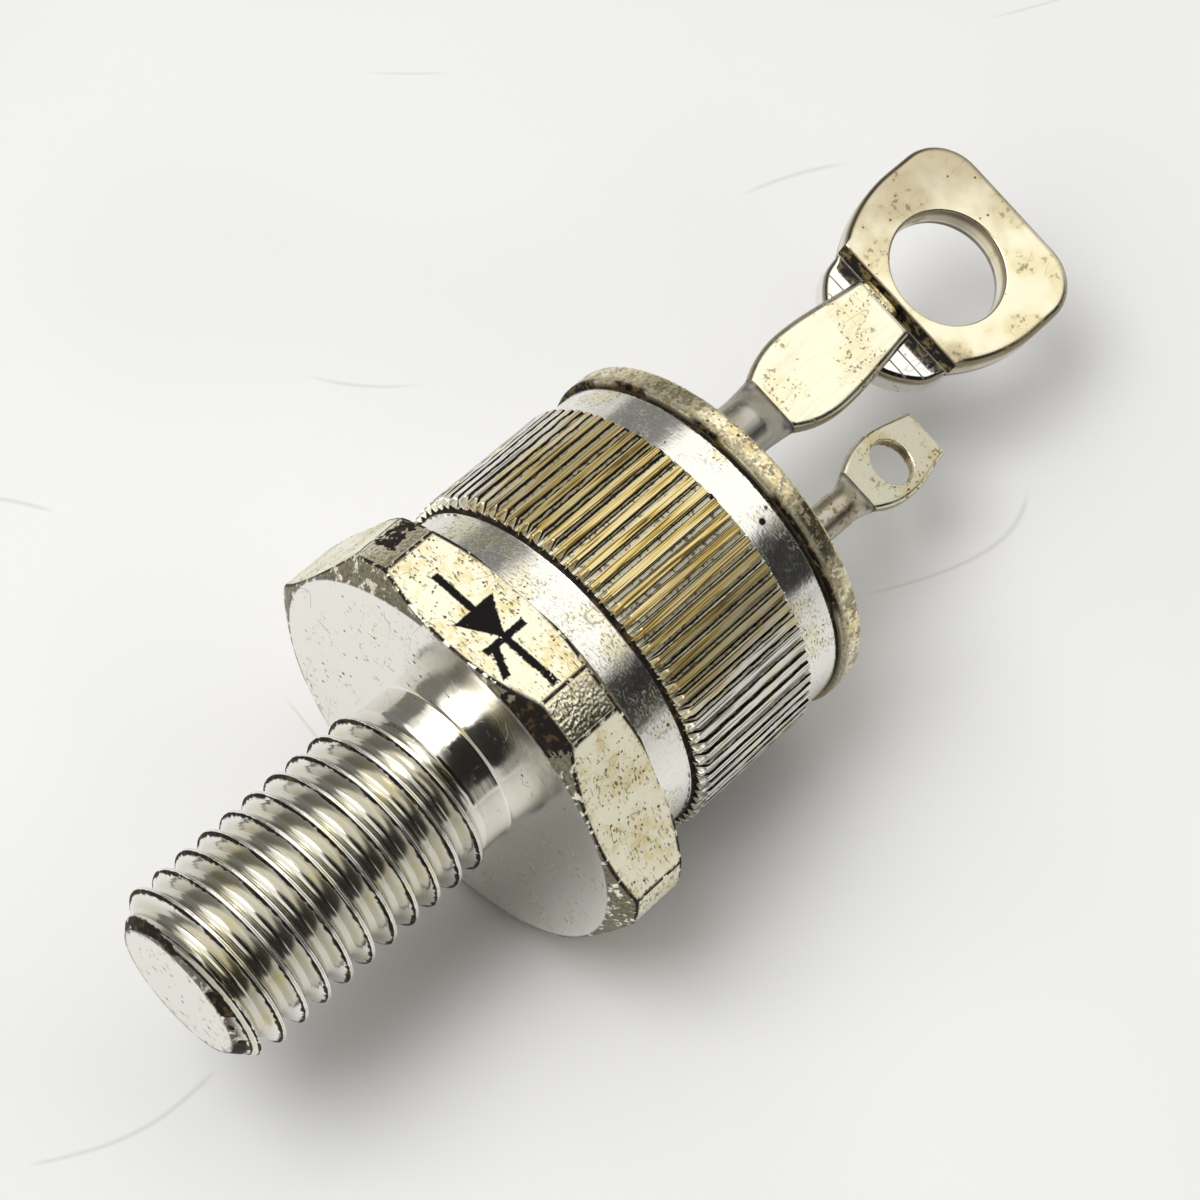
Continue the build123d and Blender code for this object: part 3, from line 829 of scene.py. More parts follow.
def lug_solder():
    """Solder: a lumpy bead in the corner between the blade's end and the joggle."""
    length, width = CATHODE["widths"][-1]
    blade_end = CATHODE["crease_z"] + length
    stations, columns = 46, 28
    share = np.linspace(0, 1, stations)[:, None]
    turns = -np.arange(columns) * 2 * pi / columns  # this way round, the faces look outward
    swell = (1 - (2 * share - 1) ** 6) ** 0.5
    y = CATHODE["offset"] - width / 2 + SOLDER_START + SOLDER_LENGTH * share
    lumps = 1 + 0.14 * wobble(np.cos(turns) * 2, y * 4, np.sin(turns) * 2, 1.4, seed=50)
    square = lumps / np.maximum(np.abs(np.cos(turns)), np.abs(np.sin(turns))) ** 0.55
    half_depth = SOLDER_HALF_DEPTH * swell + SOLDER_END_R
    half_height = SOLDER_HALF_HEIGHT * swell + SOLDER_END_R
    x = TAB_FRONT + SOLDER_OUT + half_depth * np.cos(turns) * square
    z = (blade_end + JOGGLE_Z) / 2 + half_height * np.sin(turns) * square
    grid = np.stack([np.maximum(x, TAB_FRONT + 0.002), y + 0 * x, z], axis=2)
    return grid_object("lug_solder_visual", capped(grid))[0], {}


# ---------------------------------------------------------------- materials

SILVER = (0.86, 0.84, 0.79, 1.0)
CREAM = (0.85, 0.80, 0.61, 1.0)
PALE_CREAM = (0.88, 0.84, 0.66, 1.0)
STRAW = (0.78, 0.67, 0.37, 1.0)
GOLD = (0.74, 0.58, 0.24, 1.0)
# Gold of the painted sheen on one side of the knurl.
GOLDEN_SHEEN = (0.64, 0.46, 0.14, 1.0)
# Olive of the painted shade in the thread's roots.
OLIVE_SHADE = (0.40, 0.37, 0.25, 1.0)
OLD_GOLD = (0.50, 0.40, 0.21, 1.0)
LUG_YELLOW = (0.86, 0.77, 0.50, 1.0)
LUG_BROWN = (0.40, 0.33, 0.23, 1.0)
UMBER = (0.30, 0.22, 0.10, 1.0)
DARK_UMBER = (0.20, 0.14, 0.06, 1.0)
# Dark of the painted shade on the edges of the blades and of the lug.
RIM_SHADE = (0.17, 0.13, 0.07, 1.0)
BROWN = (0.11, 0.07, 0.03, 1.0)
# Near-black of soiling, and of painted shade where the soiling masks carry it.
SOOT_AND_SHADE = (0.016, 0.012, 0.010, 1.0)
INK = (0.006, 0.005, 0.005, 1.0)
DIRT_GLOSS = 0.12


class Value:
    """A node's output. Sums and products of values make the nodes that work them out."""

    def __init__(self, graph, socket):
        self.graph, self.socket = graph, socket

    def __add__(self, other):
        return self.graph.maths("ADD", self, other)

    def __sub__(self, other):
        return self.graph.maths("SUBTRACT", self, other)

    def __rsub__(self, other):
        return self.graph.maths("SUBTRACT", other, self)

    def __mul__(self, other):
        return self.graph.maths("MULTIPLY", self, other)

    __radd__, __rmul__ = __add__, __mul__


class Graph:
    """The node tree of a material or a world, with short names for the nodes that it uses."""

    def __init__(self, owner):
        owner.use_nodes = True
        self.tree = owner.node_tree

    def feed(self, socket, value):
        """Links a socket, or sets its value."""
        if isinstance(value, Value):
            self.tree.links.new(value.socket, socket)
        elif value is not None:
            socket.default_value = value

    def node(self, kind, *values, **settings):
        """A node with its settings made and its first inputs fed in order, None being passed over."""
        node = self.tree.nodes.new(kind)
        for key, value in settings.items():
            setattr(node, key, value)
        for socket, value in zip(node.inputs, values):
            self.feed(socket, value)
        return node

    def out(self, kind, *values, output=0, **settings):
        """One output of a new node."""
        return Value(self, self.node(kind, *values, **settings).outputs[output])

    def parts(self, vector):
        """The three parts of a vector."""
        return [Value(self, part) for part in self.node("ShaderNodeSeparateXYZ", vector).outputs]

    def maths(self, operation, a, b=None):
        """A sum, a product, or another operation of one or two numbers."""
        return self.out("ShaderNodeMath", a, b, operation=operation)

    def vectors(self, operation, a, b=None, output="Vector"):
        """An operation of one or two vectors."""
        return self.out("ShaderNodeVectorMath", a, b, operation=operation, output=output)

    def spread(self, value, low, high, out_low=0.0, out_high=1.0):
        """A smooth step of a value from one level to another."""
        ends = (low, high, out_low, out_high)
        return self.out("ShaderNodeMapRange", value, *ends, interpolation_type="SMOOTHSTEP")

    def below(self, value, low, high):
        """A smooth step down: 1 below the first level, 0 above the second."""
        return self.spread(value, low, high, 1.0, 0.0)

    def blend(self, share, a, b):
        """Two numbers mixed."""
        return self.out("ShaderNodeMix", share, None, a, b)

    def mix(self, share, a, b):
        """Two colours mixed."""
        numbers_and_vectors = [None] * 5
        return self.out("ShaderNodeMix", share, *numbers_and_vectors, a, b, output=2, data_type="RGBA")

    def most(self, *values):
        """The greatest of some values."""
        return reduce(partial(self.maths, "MAXIMUM"), values)

    def least(self, *values):
        """The least of some values."""
        return reduce(partial(self.maths, "MINIMUM"), values)


class Shader(Graph):
    """A principled material whose patterns follow the device position, or the object's own."""

    def __init__(self, name, own_axes=False):
        self.material = bpy.data.materials.new(name)
        super().__init__(self.material)
        self.surface = self.tree.nodes["Principled BSDF"]
        if own_axes:
            metres = self.out("ShaderNodeTexCoord", output="Object")
            self.place = self.vectors("MULTIPLY", metres, (1000, 1000, 1000))
        else:
            self.place = self.attribute("dev", "Vector")
        self.x, self.y, self.z = self.parts(self.place)
        self.radius = self.vectors("LENGTH", self.scaled(1, 1, 0), output="Value")
        self.broad = self.noise(0.6, 2.0, 0.62)
        self.fine = self.noise(2.9, 2.0, 0.7)
        self.grain = self.noise(9.0, 0.0)

    def attribute(self, name, output="Fac"):
        """A value or vector stored on the mesh."""
        return self.out("ShaderNodeAttribute", output=output, attribute_name=name)

    def toward(self, angle):
        """How far out the place is in a direction square to the axis."""
        return self.x * cos(angle) + self.y * sin(angle)

    def off(self, value, level):
        """How far a value is from a level, either way."""
        return self.maths("ABSOLUTE", value - level)

    def near(self, value, level, reach):
        """1 where a value is at a level, falling to 0 at the reach."""
        return self.below(self.off(value, level), reach * 0.3, reach)

    def scaled(self, x, y, z):
        """The place stretched along its axes."""
        return self.vectors("MULTIPLY", self.place, (x, y, z))

    def vector(self, x, y, z):
        """A vector of three values."""
        return self.out("ShaderNodeCombineXYZ", x, y, z)

    def noise(self, scale, detail=2.0, roughness=0.55, vector=None):
        """Smooth noise, 0 to 1."""
        node = self.node("ShaderNodeTexNoise", vector or self.place)
        for key, value in (("Scale", scale), ("Detail", detail), ("Roughness", roughness)):
            node.inputs[key].default_value = value
        return Value(self, node.outputs["Fac"])

    def stretched(self, x, y, z, detail=0.0):
        """Noise with its own fineness along each axis."""
        return self.noise(1.0, detail, 0.6, self.scaled(x, y, z))

    def drift(self, low, high):
        """A number that drifts between two ends over the piece."""
        return self.spread(self.broad, 0.35, 0.65, low, high)

    def finish(self, colour, roughness, dirt_and_shade, height=None):
        """Feeds the surface: plated metal that stops being metal under matt soiling and painted shade, and
        its relief in mm.
        """
        values = {
            "Specular IOR Level": DIRT_GLOSS, "Base Color": colour, "Roughness": roughness,
            "Metallic": self.maths("SUBTRACT", 1.0, dirt_and_shade),
        }
        if height:
            bump = self.node("ShaderNodeBump")
            self.feed(bump.inputs["Distance"], MM)
            self.feed(bump.inputs["Height"], height)
            values["Normal"] = Value(self, bump.outputs[0])
        for name, value in values.items():
            self.feed(self.surface.inputs[name], value)
        return self.material


def pit_field(s, scale, size, share):
    """Small round pits: 1 in a pit. The share sets how many of the cells hold one."""
    cells = s.node("ShaderNodeTexVoronoi", s.place)
    cells.inputs["Scale"].default_value = scale
    pick = s.parts(Value(s, cells.outputs["Color"]))[0]
    width = s.spread(pick, 1.0 - share, 1.0, 0.0, size)
    return s.maths("LESS_THAN", Value(s, cells.outputs["Distance"]), width)


def scratch_field(s, width=0.006):
    """Long thin broken scratches in two directions."""
    lines = []
    for stretch, scale in (((0.25, 1.1, 1.1), 0.9), ((0.9, 0.8, 0.22), 1.3)):
        field = s.noise(scale, 0.0, 0.5, s.scaled(*stretch))
        lines.append(s.below(s.off(field, 0.5), 0.0, width))
    return s.most(*lines) * s.spread(s.broad, 0.5, 0.56)


def ring_lines(s, fineness):
    """Fine turning lines that run round the axis, on faces, rims and tapers alike."""
    return s.noise(1.0, 0.0, 0.6, s.vector(s.x * 0.2, s.y * 0.2, (s.z + s.radius) * fineness))


def speckled(s):
    """Colour of worn gold-toned plating: cream grains on old gold."""
    return s.mix(s.spread(s.fine * 0.5 + s.grain * 0.5, 0.44, 0.56), OLD_GOLD, CREAM)


def soil_and_shade(s, low, high, brown):
    """Colour of soiling and of painted shade: soot black, turning to a brown from one level of the fine
    noise to another.
    """
    return s.mix(s.spread(s.fine, low, high), SOOT_AND_SHADE, brown)


SYMBOL_HEIGHT, SYMBOL_MIDDLE, SYMBOL_STROKE = 1.42, 0.45, 0.13
SYMBOL_LEAD, SYMBOL_TALL, SYMBOL_BACK, SYMBOL_BAR = 2.5, 0.8, -0.9, 0.42


def thyristor_symbol(s):
    """Ink of the thyristor's circuit symbol, stamped on the uppermost flat: 1 in the ink."""
    ragged = (s.grain - 0.5) * 0.07
    v = s.z - SYMBOL_HEIGHT + ragged
    u = s.toward(HEX_TURN + pi / 2) - SYMBOL_MIDDLE + ragged
    up = s.off(v, 0.0)

    def bar(along, middle_at, half_length, side):
        """Below 0 inside a straight stroke."""
        return s.most(s.off(along, middle_at) - half_length, side - SYMBOL_STROKE)

    lead = bar(u, 0.0, SYMBOL_LEAD, up)
    stop = bar(v, 0.0, SYMBOL_TALL, s.off(u, SYMBOL_BAR))
    slope = SYMBOL_TALL / (SYMBOL_BAR - SYMBOL_BACK)
    triangle = s.most(up + u * slope - slope * SYMBOL_BAR, SYMBOL_BACK - u)
    gate = bar(u, SYMBOL_BAR + 0.5, 0.5, s.off(v + (u - SYMBOL_BAR) * 0.5, -0.42) * 0.89)
    inside = s.least(lead, stop, triangle, gate)
    worn = s.spread(s.fine, 0.27, 0.33)
    on_flat = s.spread(s.toward(HEX_TURN), FLAT_R - 0.06, FLAT_R - 0.03)
    return s.below(inside, -0.03, 0.03) * on_flat * worn


def hexagon_lines(s):
    """Places on the hexagon's side: a thin line beside its edges, where a dark line of painted shade
    goes, a broader tint there, its turned-off corners, and the distance in from the nearer chamfer.
    """
    above_seat = s.z - (s.radius - SEAT_R) * SEAT_SLOPE
    below_top = HEX_TOP - s.z - (s.radius - SHOULDER_R) * SHOULDER_SLOPE
    rise = s.least(above_seat, below_top)
    beside = s.spread(rise, -0.02, 0.01) * s.below(rise, 0.06, 0.14)
    corner = s.spread(s.radius, CORNER_R - 0.015, CORNER_R - 0.005)
    upright = s.spread(s.radius, CORNER_R - 0.07, CORNER_R - 0.03) * (1 - corner)
    return s.most(beside, upright), s.most(s.below(rise, 0.0, 0.45), corner), corner, rise


def stain(s, angle, reach, low, high):
    """Ragged soot on the side of the hexagon that faces an angle: 1 in the stain. It goes as far
    from the middle of that side as the reach, and lies between two heights above the seat.
    """
    along = s.off(s.toward(angle + pi / 2), 0.0) + s.fine * 1.6
    ends = s.below(along, reach + 0.65, reach + 0.85) * s.spread(s.toward(angle), 0.0, 1.0)
    level = s.z + s.fine * 0.5 - 0.25
    return ends * s.spread(level, low, low + 0.05) * s.below(level, high - 0.05, high)


def plated_base():
    """Stud and hexagon: bright thread with dirty crests and olive painted shade in its roots, polished
    seat, pitted cream flats, and dark lines of painted shade beside the hexagon's edges.
    """
    s = Shader("plated_base")
    grime, side, flank = (s.attribute(name) for name in ("grime", "side", "flank"))
    line, tint, corner, rise = hexagon_lines(s)
    seat = s.near(s.z, 0.0, 0.05) * s.spread(s.radius, BLANK_R + 0.1, BLANK_R + 0.2)
    tip = s.below(s.z, 0.02 - STUD_LENGTH, 0.05 - STUD_LENGTH)
    stud = s.spread(s.z, -0.2, -0.5) * (1 - tip)
    blank = s.spread(s.z, RUNOUT_START, RUNOUT_END)
    polished = s.most(seat, tip)
    broken = s.spread(s.fine, 0.36, 0.46)

    bright = s.mix(s.spread(s.broad, 0.5, 0.68) * s.blend(polished, 1.0, 0.25), SILVER, CREAM)
    # Painted shade: olive darkening towards the roots of the thread.
    valley_shade = s.spread(s.radius, THREAD_R - 0.15, THREAD_R - 0.45) * stud
    bright = s.mix(valley_shade * 0.4, bright, OLIVE_SHADE)
    cream = s.mix(s.spread(s.broad * 0.6 + s.fine * 0.4, 0.46, 0.62), PALE_CREAM, STRAW)
    cream = s.mix(tint * s.spread(s.fine, 0.42, 0.6), cream, speckled(s))

    grime = s.spread(grime + (s.fine + s.grain) * 0.25, 0.6, 0.78)
    pits = pit_field(s, 2.6, 0.17, 0.30) * (1 - stud)
    specks = pit_field(s, 7.5, 0.36, 0.6) * side * s.spread(s.fine, 0.46, 0.52)
    dashes = s.spread(s.stretched(4.0, 4.0, 13.0, 1.0), 0.62, 0.66) * side * s.spread(s.broad, 0.4, 0.52)
    nicks = s.spread(s.stretched(9.0, 3.2, 3.2, 1.0), 0.68, 0.70) * polished
    nicks = nicks * s.spread(s.broad, 0.44, 0.52)
    scratches = scratch_field(s) * s.most(seat, side)
    # Painted shade: a dark line round the seat's outer rim, where it meets the chamfers.
    seat_rim = s.near(s.radius, SEAT_R, 0.10) * s.near(s.z, 0.0, 0.08)
    tip_rim = s.spread(s.radius, TIP_R - 0.12, TIP_R) * s.below(s.z, 0.12 - STUD_LENGTH, 0.3 - STUD_LENGTH)
    upper_stain = stain(s, HEX_TURN - radians(31), 0.4, 1.1, 2.4)
    lower_stain = stain(s, HEX_TURN + radians(27), 1.25, -0.3, 0.62) * s.below(rise, 0.05, 0.25)
    # Painted shade in this mask: the line beside the hexagon's edges and the seat's rim. The rest is
    # soiling, pits, specks, scratches, stains and nicks.
    dirt_and_shade = s.most(
        grime, pits * 0.85, specks * 0.85, dashes * 0.7, side * line * broken, scratches * 0.5,
        s.most(seat_rim, tip_rim) * broken * 0.8, s.most(upper_stain, lower_stain) * side, nicks * 0.85,
    )
    ink = thyristor_symbol(s)
    colour = s.mix(dirt_and_shade, s.mix(side, bright, cream), s.mix(nicks, soil_and_shade(s, 0.5, 0.74, BROWN), SOOT_AND_SHADE))
    colour = s.mix(ink, colour, INK)

    rough = s.blend(side, s.blend(seat, s.blend(blank, 0.17, 0.10), 0.15), s.drift(0.22, 0.34))
    rough = s.blend(s.most(dirt_and_shade, ink), s.blend(tip, rough, 0.26), 0.62)
    die_place = s.vector(s.x * 0.3, s.y * 0.3 + s.z * 0.8, flank * 30.0)
    die_lines = s.noise(1.0, 0.0, 0.6, die_place) * stud * 0.004
    peel = s.grain * (0.0003 + side * 0.006 + corner * side * 0.012 + tip * 0.006)
    turning = ring_lines(s, 14.0) * blank * (1 - side) * 0.0026
    return s.finish(colour, rough, s.most(dirt_and_shade * 0.9, ink), die_lines + peel + turning)


# Azimuth of the side of the knurl that gets the painted golden sheen.
GOLDEN_SHEEN_ANGLE = radians(-12)
NECK_PIT = (NECK_R * cos(radians(10.4)), NECK_R * sin(radians(10.4)), 10.6)


def plated_case():
    """Knurled case: lined teeth, golden on one side from a painted sheen, with soiling and painted shade
    between them, and two polished bands.
    """
    s = Shader("plated_case")
    crest, grime = s.attribute("crest"), s.attribute("grime")
    knurl = s.spread(s.z, KNURL_Z - 0.05, KNURL_Z + 0.1) * s.below(s.z, NECK_Z - 0.02, NECK_Z + 0.08)
    band = 1 - knurl
    lines = s.stretched(19.0, 19.0, 0.45)
    hatch = s.stretched(7.0, 7.0, 16.0, 1.0)
    # Painted golden sheen on the side of the knurl that faces one azimuth. The flanks' dark specks stay on
    # that side too.
    facing = s.maths("DIVIDE", s.toward(GOLDEN_SHEEN_ANGLE), s.radius)
    golden_sheen = s.spread(facing + s.broad * 0.5, 0.78, 1.12)

    metal = s.mix(s.spread(s.broad, 0.48, 0.66), SILVER, CREAM)
    tooth = s.mix(s.spread(lines, 0.40, 0.52), s.mix(golden_sheen, metal, STRAW), s.mix(golden_sheen, metal, GOLDEN_SHEEN))
    tooth = s.mix(crest, s.mix(golden_sheen, PALE_CREAM, CREAM), tooth)

    # This mask is mostly painted shade in the knurl's hollows and under the header's flange.
    grime = s.spread(grime + (s.fine + s.grain) * 0.3, 0.56, 0.74)
    flank_dirt = (1 - crest) * knurl * golden_sheen * s.spread(s.fine * 0.4 + s.grain * 0.6, 0.57, 0.63)
    crest_dirt = crest * knurl * s.spread(lines, 0.57, 0.64)
    fine_pits = pit_field(s, 7.5, 0.3, 0.5) * s.spread(s.broad, 0.45, 0.58)
    spots = band * s.most(pit_field(s, 2.1, 0.14, 0.25), fine_pits)
    scratches = scratch_field(s, 0.005) * band
    smudge = band * s.spread(s.broad, 0.42, 0.58, 0.1, 0.9) * s.spread(hatch, 0.54, 0.64)
    from_pit = s.vectors("DISTANCE", s.place, NECK_PIT, output="Value")
    dirt_and_shade = s.most(
        grime, flank_dirt * 0.7, crest_dirt * 0.8, spots * 0.85, scratches * 0.4, smudge * 0.5,
        s.below(from_pit, 0.09, 0.15),
    )
    colour = s.mix(dirt_and_shade, s.mix(knurl, metal, tooth), soil_and_shade(s, 0.5, 0.74, BROWN))
    rough = s.blend(dirt_and_shade, s.blend(knurl, s.drift(0.13, 0.22), 0.32), 0.6)
    patina = knurl * s.blend(crest, 0.75, 0.3)
    rubble = s.grain * (1 - crest) * knurl * 0.02
    brushing = ring_lines(s, 16.0) * band * 0.0016 + hatch * band * s.broad * 0.004
    height = lines * knurl * 0.005 + rubble + s.grain * 0.0014 + brushing
    return s.finish(colour, rough, s.most(dirt_and_shade * 0.9, patina), height)


def plated_header():
    """Header: brownish speckled plating, with painted shade in the groove under the flange and in the
    corner at the collar.
    """
    s = Shader("plated_header")
    rim = s.spread(s.radius, FLANGE_R - 0.1, FLANGE_R - 0.02) * s.spread(s.fine, 0.3, 0.55)
    metal = s.mix(rim, s.mix(s.spread(s.broad, 0.42, 0.62), CREAM, STRAW), speckled(s))
    pits, specks = pit_field(s, 3.0, 0.18, 0.35), pit_field(s, 8.0, 0.34, 0.6)
    dirt_and_shade = s.most(s.attribute("grime"), s.spread(s.fine, 0.5, 0.6) * 0.6, pits * 0.85, specks * 0.75)
    colour = s.mix(dirt_and_shade, metal, soil_and_shade(s, 0.5, 0.62, DARK_UMBER))
    rough = s.blend(dirt_and_shade, s.drift(0.14, 0.26), 0.55)
    return s.finish(colour, rough, dirt_and_shade * 0.85, ring_lines(s, 20.0) * 0.0008 + s.grain * 0.003)


def terminal_metal(name, terminal, tube_tint, tube_tarnish, tarnish, freckling):
    """Satin plating of a flattened tube: dull on the tube, with a dark band of painted shade below the
    crease; brighter, freckled and dark-edged with painted shade on the blade.
    """
    s = Shader(name)
    blade = s.attribute("blade")
    thick, lean = terminal["half_thickness"], terminal["lean"]
    above = s.z - terminal["crease_z"]
    depth = s.off(s.x * cos(lean) + above * sin(lean), 0.0)
    clouds = s.spread(s.broad, 0.44, 0.68)
    metal = s.mix(blade, s.mix(clouds, tube_tint, tube_tarnish), s.mix(clouds * 0.5, PALE_CREAM, tarnish))
    # Painted shade on the blade's edges, away from its broad faces.
    metal = s.mix(blade * s.spread(depth, thick - 0.03, thick - 0.12) * 0.8, metal, RIM_SHADE)
    # Painted shade: a dark band on the tube just below the crease.
    crease = s.spread(above, -0.3, -0.02) * (1 - blade)
    pits = pit_field(s, 3.4, 0.16, freckling)
    freckles = s.spread(s.fine * 0.55 + s.grain * 0.45, 0.585 - 0.05 * freckling, 0.63)
    freckles = freckles * s.spread(s.broad, 0.5 - 0.2 * freckling, 0.58) * (0.5 + 0.5 * freckling)
    dirt_and_shade = s.most(crease * 0.8, pits * 0.75, scratch_field(s) * 0.35, freckles)
    colour = s.mix(dirt_and_shade, metal, soil_and_shade(s, 0.46, 0.66, UMBER))
    streaks = s.stretched(6.0, 7.0, 0.7)
    rough = s.blend(blade, s.spread(streaks, 0.3, 0.7, 0.3, 0.4), s.spread(streaks, 0.3, 0.7, 0.18, 0.28))
    rough = s.blend(dirt_and_shade, rough, 0.6)
    return s.finish(colour, rough, dirt_and_shade * 0.8, streaks * 0.0015 + s.grain * 0.0014)


# Painted shade: a dark line is drawn along each of these creases.
TAB_LINES = (-0.8, -1.3)  # heights of the creases pressed across the tongue


def plated_lug():
    """Lug: yellow plating tarnished brown at its upper left, with painted shade on its rim, in its joggle
    and along the creases of its tongue.
    """
    s = Shader("plated_lug")
    across, height = s.y - LUG_MIDDLE, s.z - JOGGLE_Z
    on_tab = s.below(s.x, TAB_FRONT + 0.02, TAB_FRONT + 0.08)
    upper_left = height * 0.35 - across * 0.8 + s.broad * 3.4 + s.fine * 0.8
    lower_right = across * 0.55 - height * 0.7 + s.broad * 3.4 + s.fine * 1.2
    tarnish = s.most(s.spread(upper_left, 2.6, 6.0), s.spread(lower_right, 2.6, 4.4))

    def behind(front, start, full):
        """0 to 1 from one depth behind a front face to another."""
        return s.spread(s.x, front - start, front - full)

    # Painted shade on the side walls of the plate and the tongue, and on the tongue's back.
    rim = s.most(
        behind(LUG_FRONT, 0.006, 0.06) * behind(LUG_FRONT, 0.5, 0.2),
        behind(TAB_FRONT, 0.015, 0.08) * behind(TAB_FRONT, 0.45, 0.2),
        behind(TAB_FRONT, LUG_THICKNESS - 0.1, LUG_THICKNESS - 0.02),
    )
    metal = s.mix(s.spread(s.broad, 0.4, 0.62), CREAM, LUG_YELLOW)
    for share, colour in ((tarnish * 0.7, LUG_BROWN), (on_tab, SILVER), (rim * 0.85, RIM_SHADE)):
        metal = s.mix(share, metal, colour)
    wall = behind(TAB_FRONT, 0.02, -0.05) * behind(LUG_FRONT, 0.02, 0.1)
    # Painted shade: dark lines along the tongue's creases.
    creases = s.most(*(s.near(height, level, 0.04) for level in TAB_LINES))
    creases = creases * on_tab * behind(TAB_FRONT, 0.1, 0.03)
    pits = pit_field(s, 2.8, 0.15, 0.18)
    freckles = s.spread(s.fine, 0.56, 0.66) * s.spread(s.broad, 0.5, 0.6) * 0.6
    # Painted shade: dark in the joggle's step.
    joggle = s.near(height, 0.0, 0.09) * wall
    dirt_and_shade = s.most(joggle, pits * 0.7, scratch_field(s, 0.005) * 0.3, freckles, creases * 0.8)
    colour = s.mix(dirt_and_shade, metal, soil_and_shade(s, 0.46, 0.66, UMBER))
    rough = s.blend(dirt_and_shade, s.blend(on_tab, s.drift(0.2, 0.3), 0.1), 0.6)
    brushed = s.stretched(2.0, 1.0, 7.0)
    return s.finish(colour, rough, dirt_and_shade * 0.85, brushed * 0.0012 + s.grain * 0.0010)


def solder():
    """Solder: a dull yellowish skin with dark blowholes."""
    s = Shader("solder")
    holes = pit_field(s, 2.8, 0.34, 0.5)
    metal = s.mix(s.spread(s.fine, 0.4, 0.62), (0.80, 0.72, 0.48, 1.0), (0.58, 0.46, 0.22, 1.0))
    rough = s.blend(holes, s.spread(s.fine, 0.35, 0.65, 0.2, 0.36), 0.8)
    return s.finish(s.mix(holes, metal, SOOT_AND_SHADE), rough, holes * 0.8, s.fine * 0.04 - holes * 0.06)


def seal_glass():
    """Sealing glass: dark green-grey, glossy, with fine bubbles and a flux haze at its edge."""
    s = Shader("seal_glass")
    depth = s.mix(s.spread(s.broad, 0.35, 0.65), (0.030, 0.052, 0.045, 1.0), (0.075, 0.105, 0.088, 1.0))
    bubbles = pit_field(s, 3.4, 0.2, 0.4) * 0.6
    haze = s.spread(s.radius + s.fine * 0.5, COLLAR_IN_R - 0.25, COLLAR_IN_R + 0.2) * 0.7
    colour = s.mix(bubbles, depth, (0.40, 0.45, 0.40, 1.0))
    colour = s.mix(haze, colour, (0.30, 0.28, 0.22, 1.0))
    s.feed(s.surface.inputs["Coat Weight"], 1.0)
    return s.finish(colour, s.spread(s.fine, 0.3, 0.7, 0.08, 0.2), 1.0, bubbles * 0.012)


def inner_metal(name, colour, mottling, roughness):
    """An inner piece: mottled metal, patterned by the piece's own coordinates."""
    s = Shader(name, own_axes=True)
    mixed = s.mix(s.spread(s.broad, 0.4, 0.66), colour, mottling)
    rough = s.spread(s.fine, 0.3, 0.7, roughness * 0.8, roughness * 1.2)
    return s.finish(mixed, rough, 0.0, s.grain * 0.002)


# ---------------------------------------------------------------- camera, floor, light

CAMERA_AIM = Vector((-1.438, 0.581, 7.0)) * MM
CAMERA_DISTANCE = 99.94 * MM
CAMERA_AZIMUTH, CAMERA_ELEVATION, CAMERA_ROLL = radians(-137.745), radians(61.92), radians(2.07)
CAMERA_LENS, CAMERA_SENSOR = 94.15, 36.0

KEY_SIZE, KEY_DISTANCE, KEY_POWER = 0.20, 0.36, 0.56
KEY_FROM = Vector((-0.30, 0.22, 0.93)).normalized()
FLOOR_COLOUR = (0.90, 0.90, 0.905, 1.0)
SHADED_FLOOR = (0.8685, 0.8685, 0.873325, 1.0)
HAIRLINE = (0.4, 0.38, 0.34, 1.0)
FLOOR_HALF, FLOOR_DROP = 1.5, 0.00002
ROOM_TINT = (1.0, 0.99, 0.95, 1.0)
SKY_LEVEL, ROOM_LEVEL, OLIVE_LEVEL, DARK_LEVEL, PALE_LEVEL = 1.28, 0.68, 0.22, 0.03, 0.88
OLIVE_WALL, DARK_WALL = radians(102), radians(-66)
# The dark shape of whoever leans over the part, most seen in reflections.
OPERATOR_AZIMUTH, OPERATOR_ELEVATION, OPERATOR_HALF_ANGLE = radians(-115), radians(52), radians(33)
OPERATOR_LEVEL = 0.012


def way(azimuth, elevation):
    """Direction with an azimuth and an elevation."""
    level = cos(elevation)
    return Vector((level * cos(azimuth), level * sin(azimuth), sin(elevation)))


def placed(data, position, turn):
    """A camera or a light put in the scene."""
    thing = bpy.data.objects.new(data.name, data)
    bpy.context.collection.objects.link(thing)
    thing.location = position
    thing.rotation_mode = "QUATERNION"
    thing.rotation_quaternion = turn
    return thing


def add_camera():
    """Camera on the photograph's line of sight."""
    away = way(CAMERA_AZIMUTH, CAMERA_ELEVATION)
    data = bpy.data.cameras.new("camera")
    data.lens, data.sensor_width = CAMERA_LENS, CAMERA_SENSOR
    data.clip_start, data.clip_end = 0.001, 10.0
    turn = away.to_track_quat("Z", "Y") @ Matrix.Rotation(CAMERA_ROLL, 3, "Z").to_quaternion()
    bpy.context.scene.camera = placed(data, CAMERA_AIM + away * CAMERA_DISTANCE, turn)


def add_key():
    """A square area light that points at the part and isn't seen by the camera."""
    data = bpy.data.lights.new("key", "AREA")
    data.size, data.energy = KEY_SIZE, KEY_POWER
    light = placed(data, KEY_FROM * KEY_DISTANCE, KEY_FROM.to_track_quat("Z", "Y"))
    light.visible_camera = False


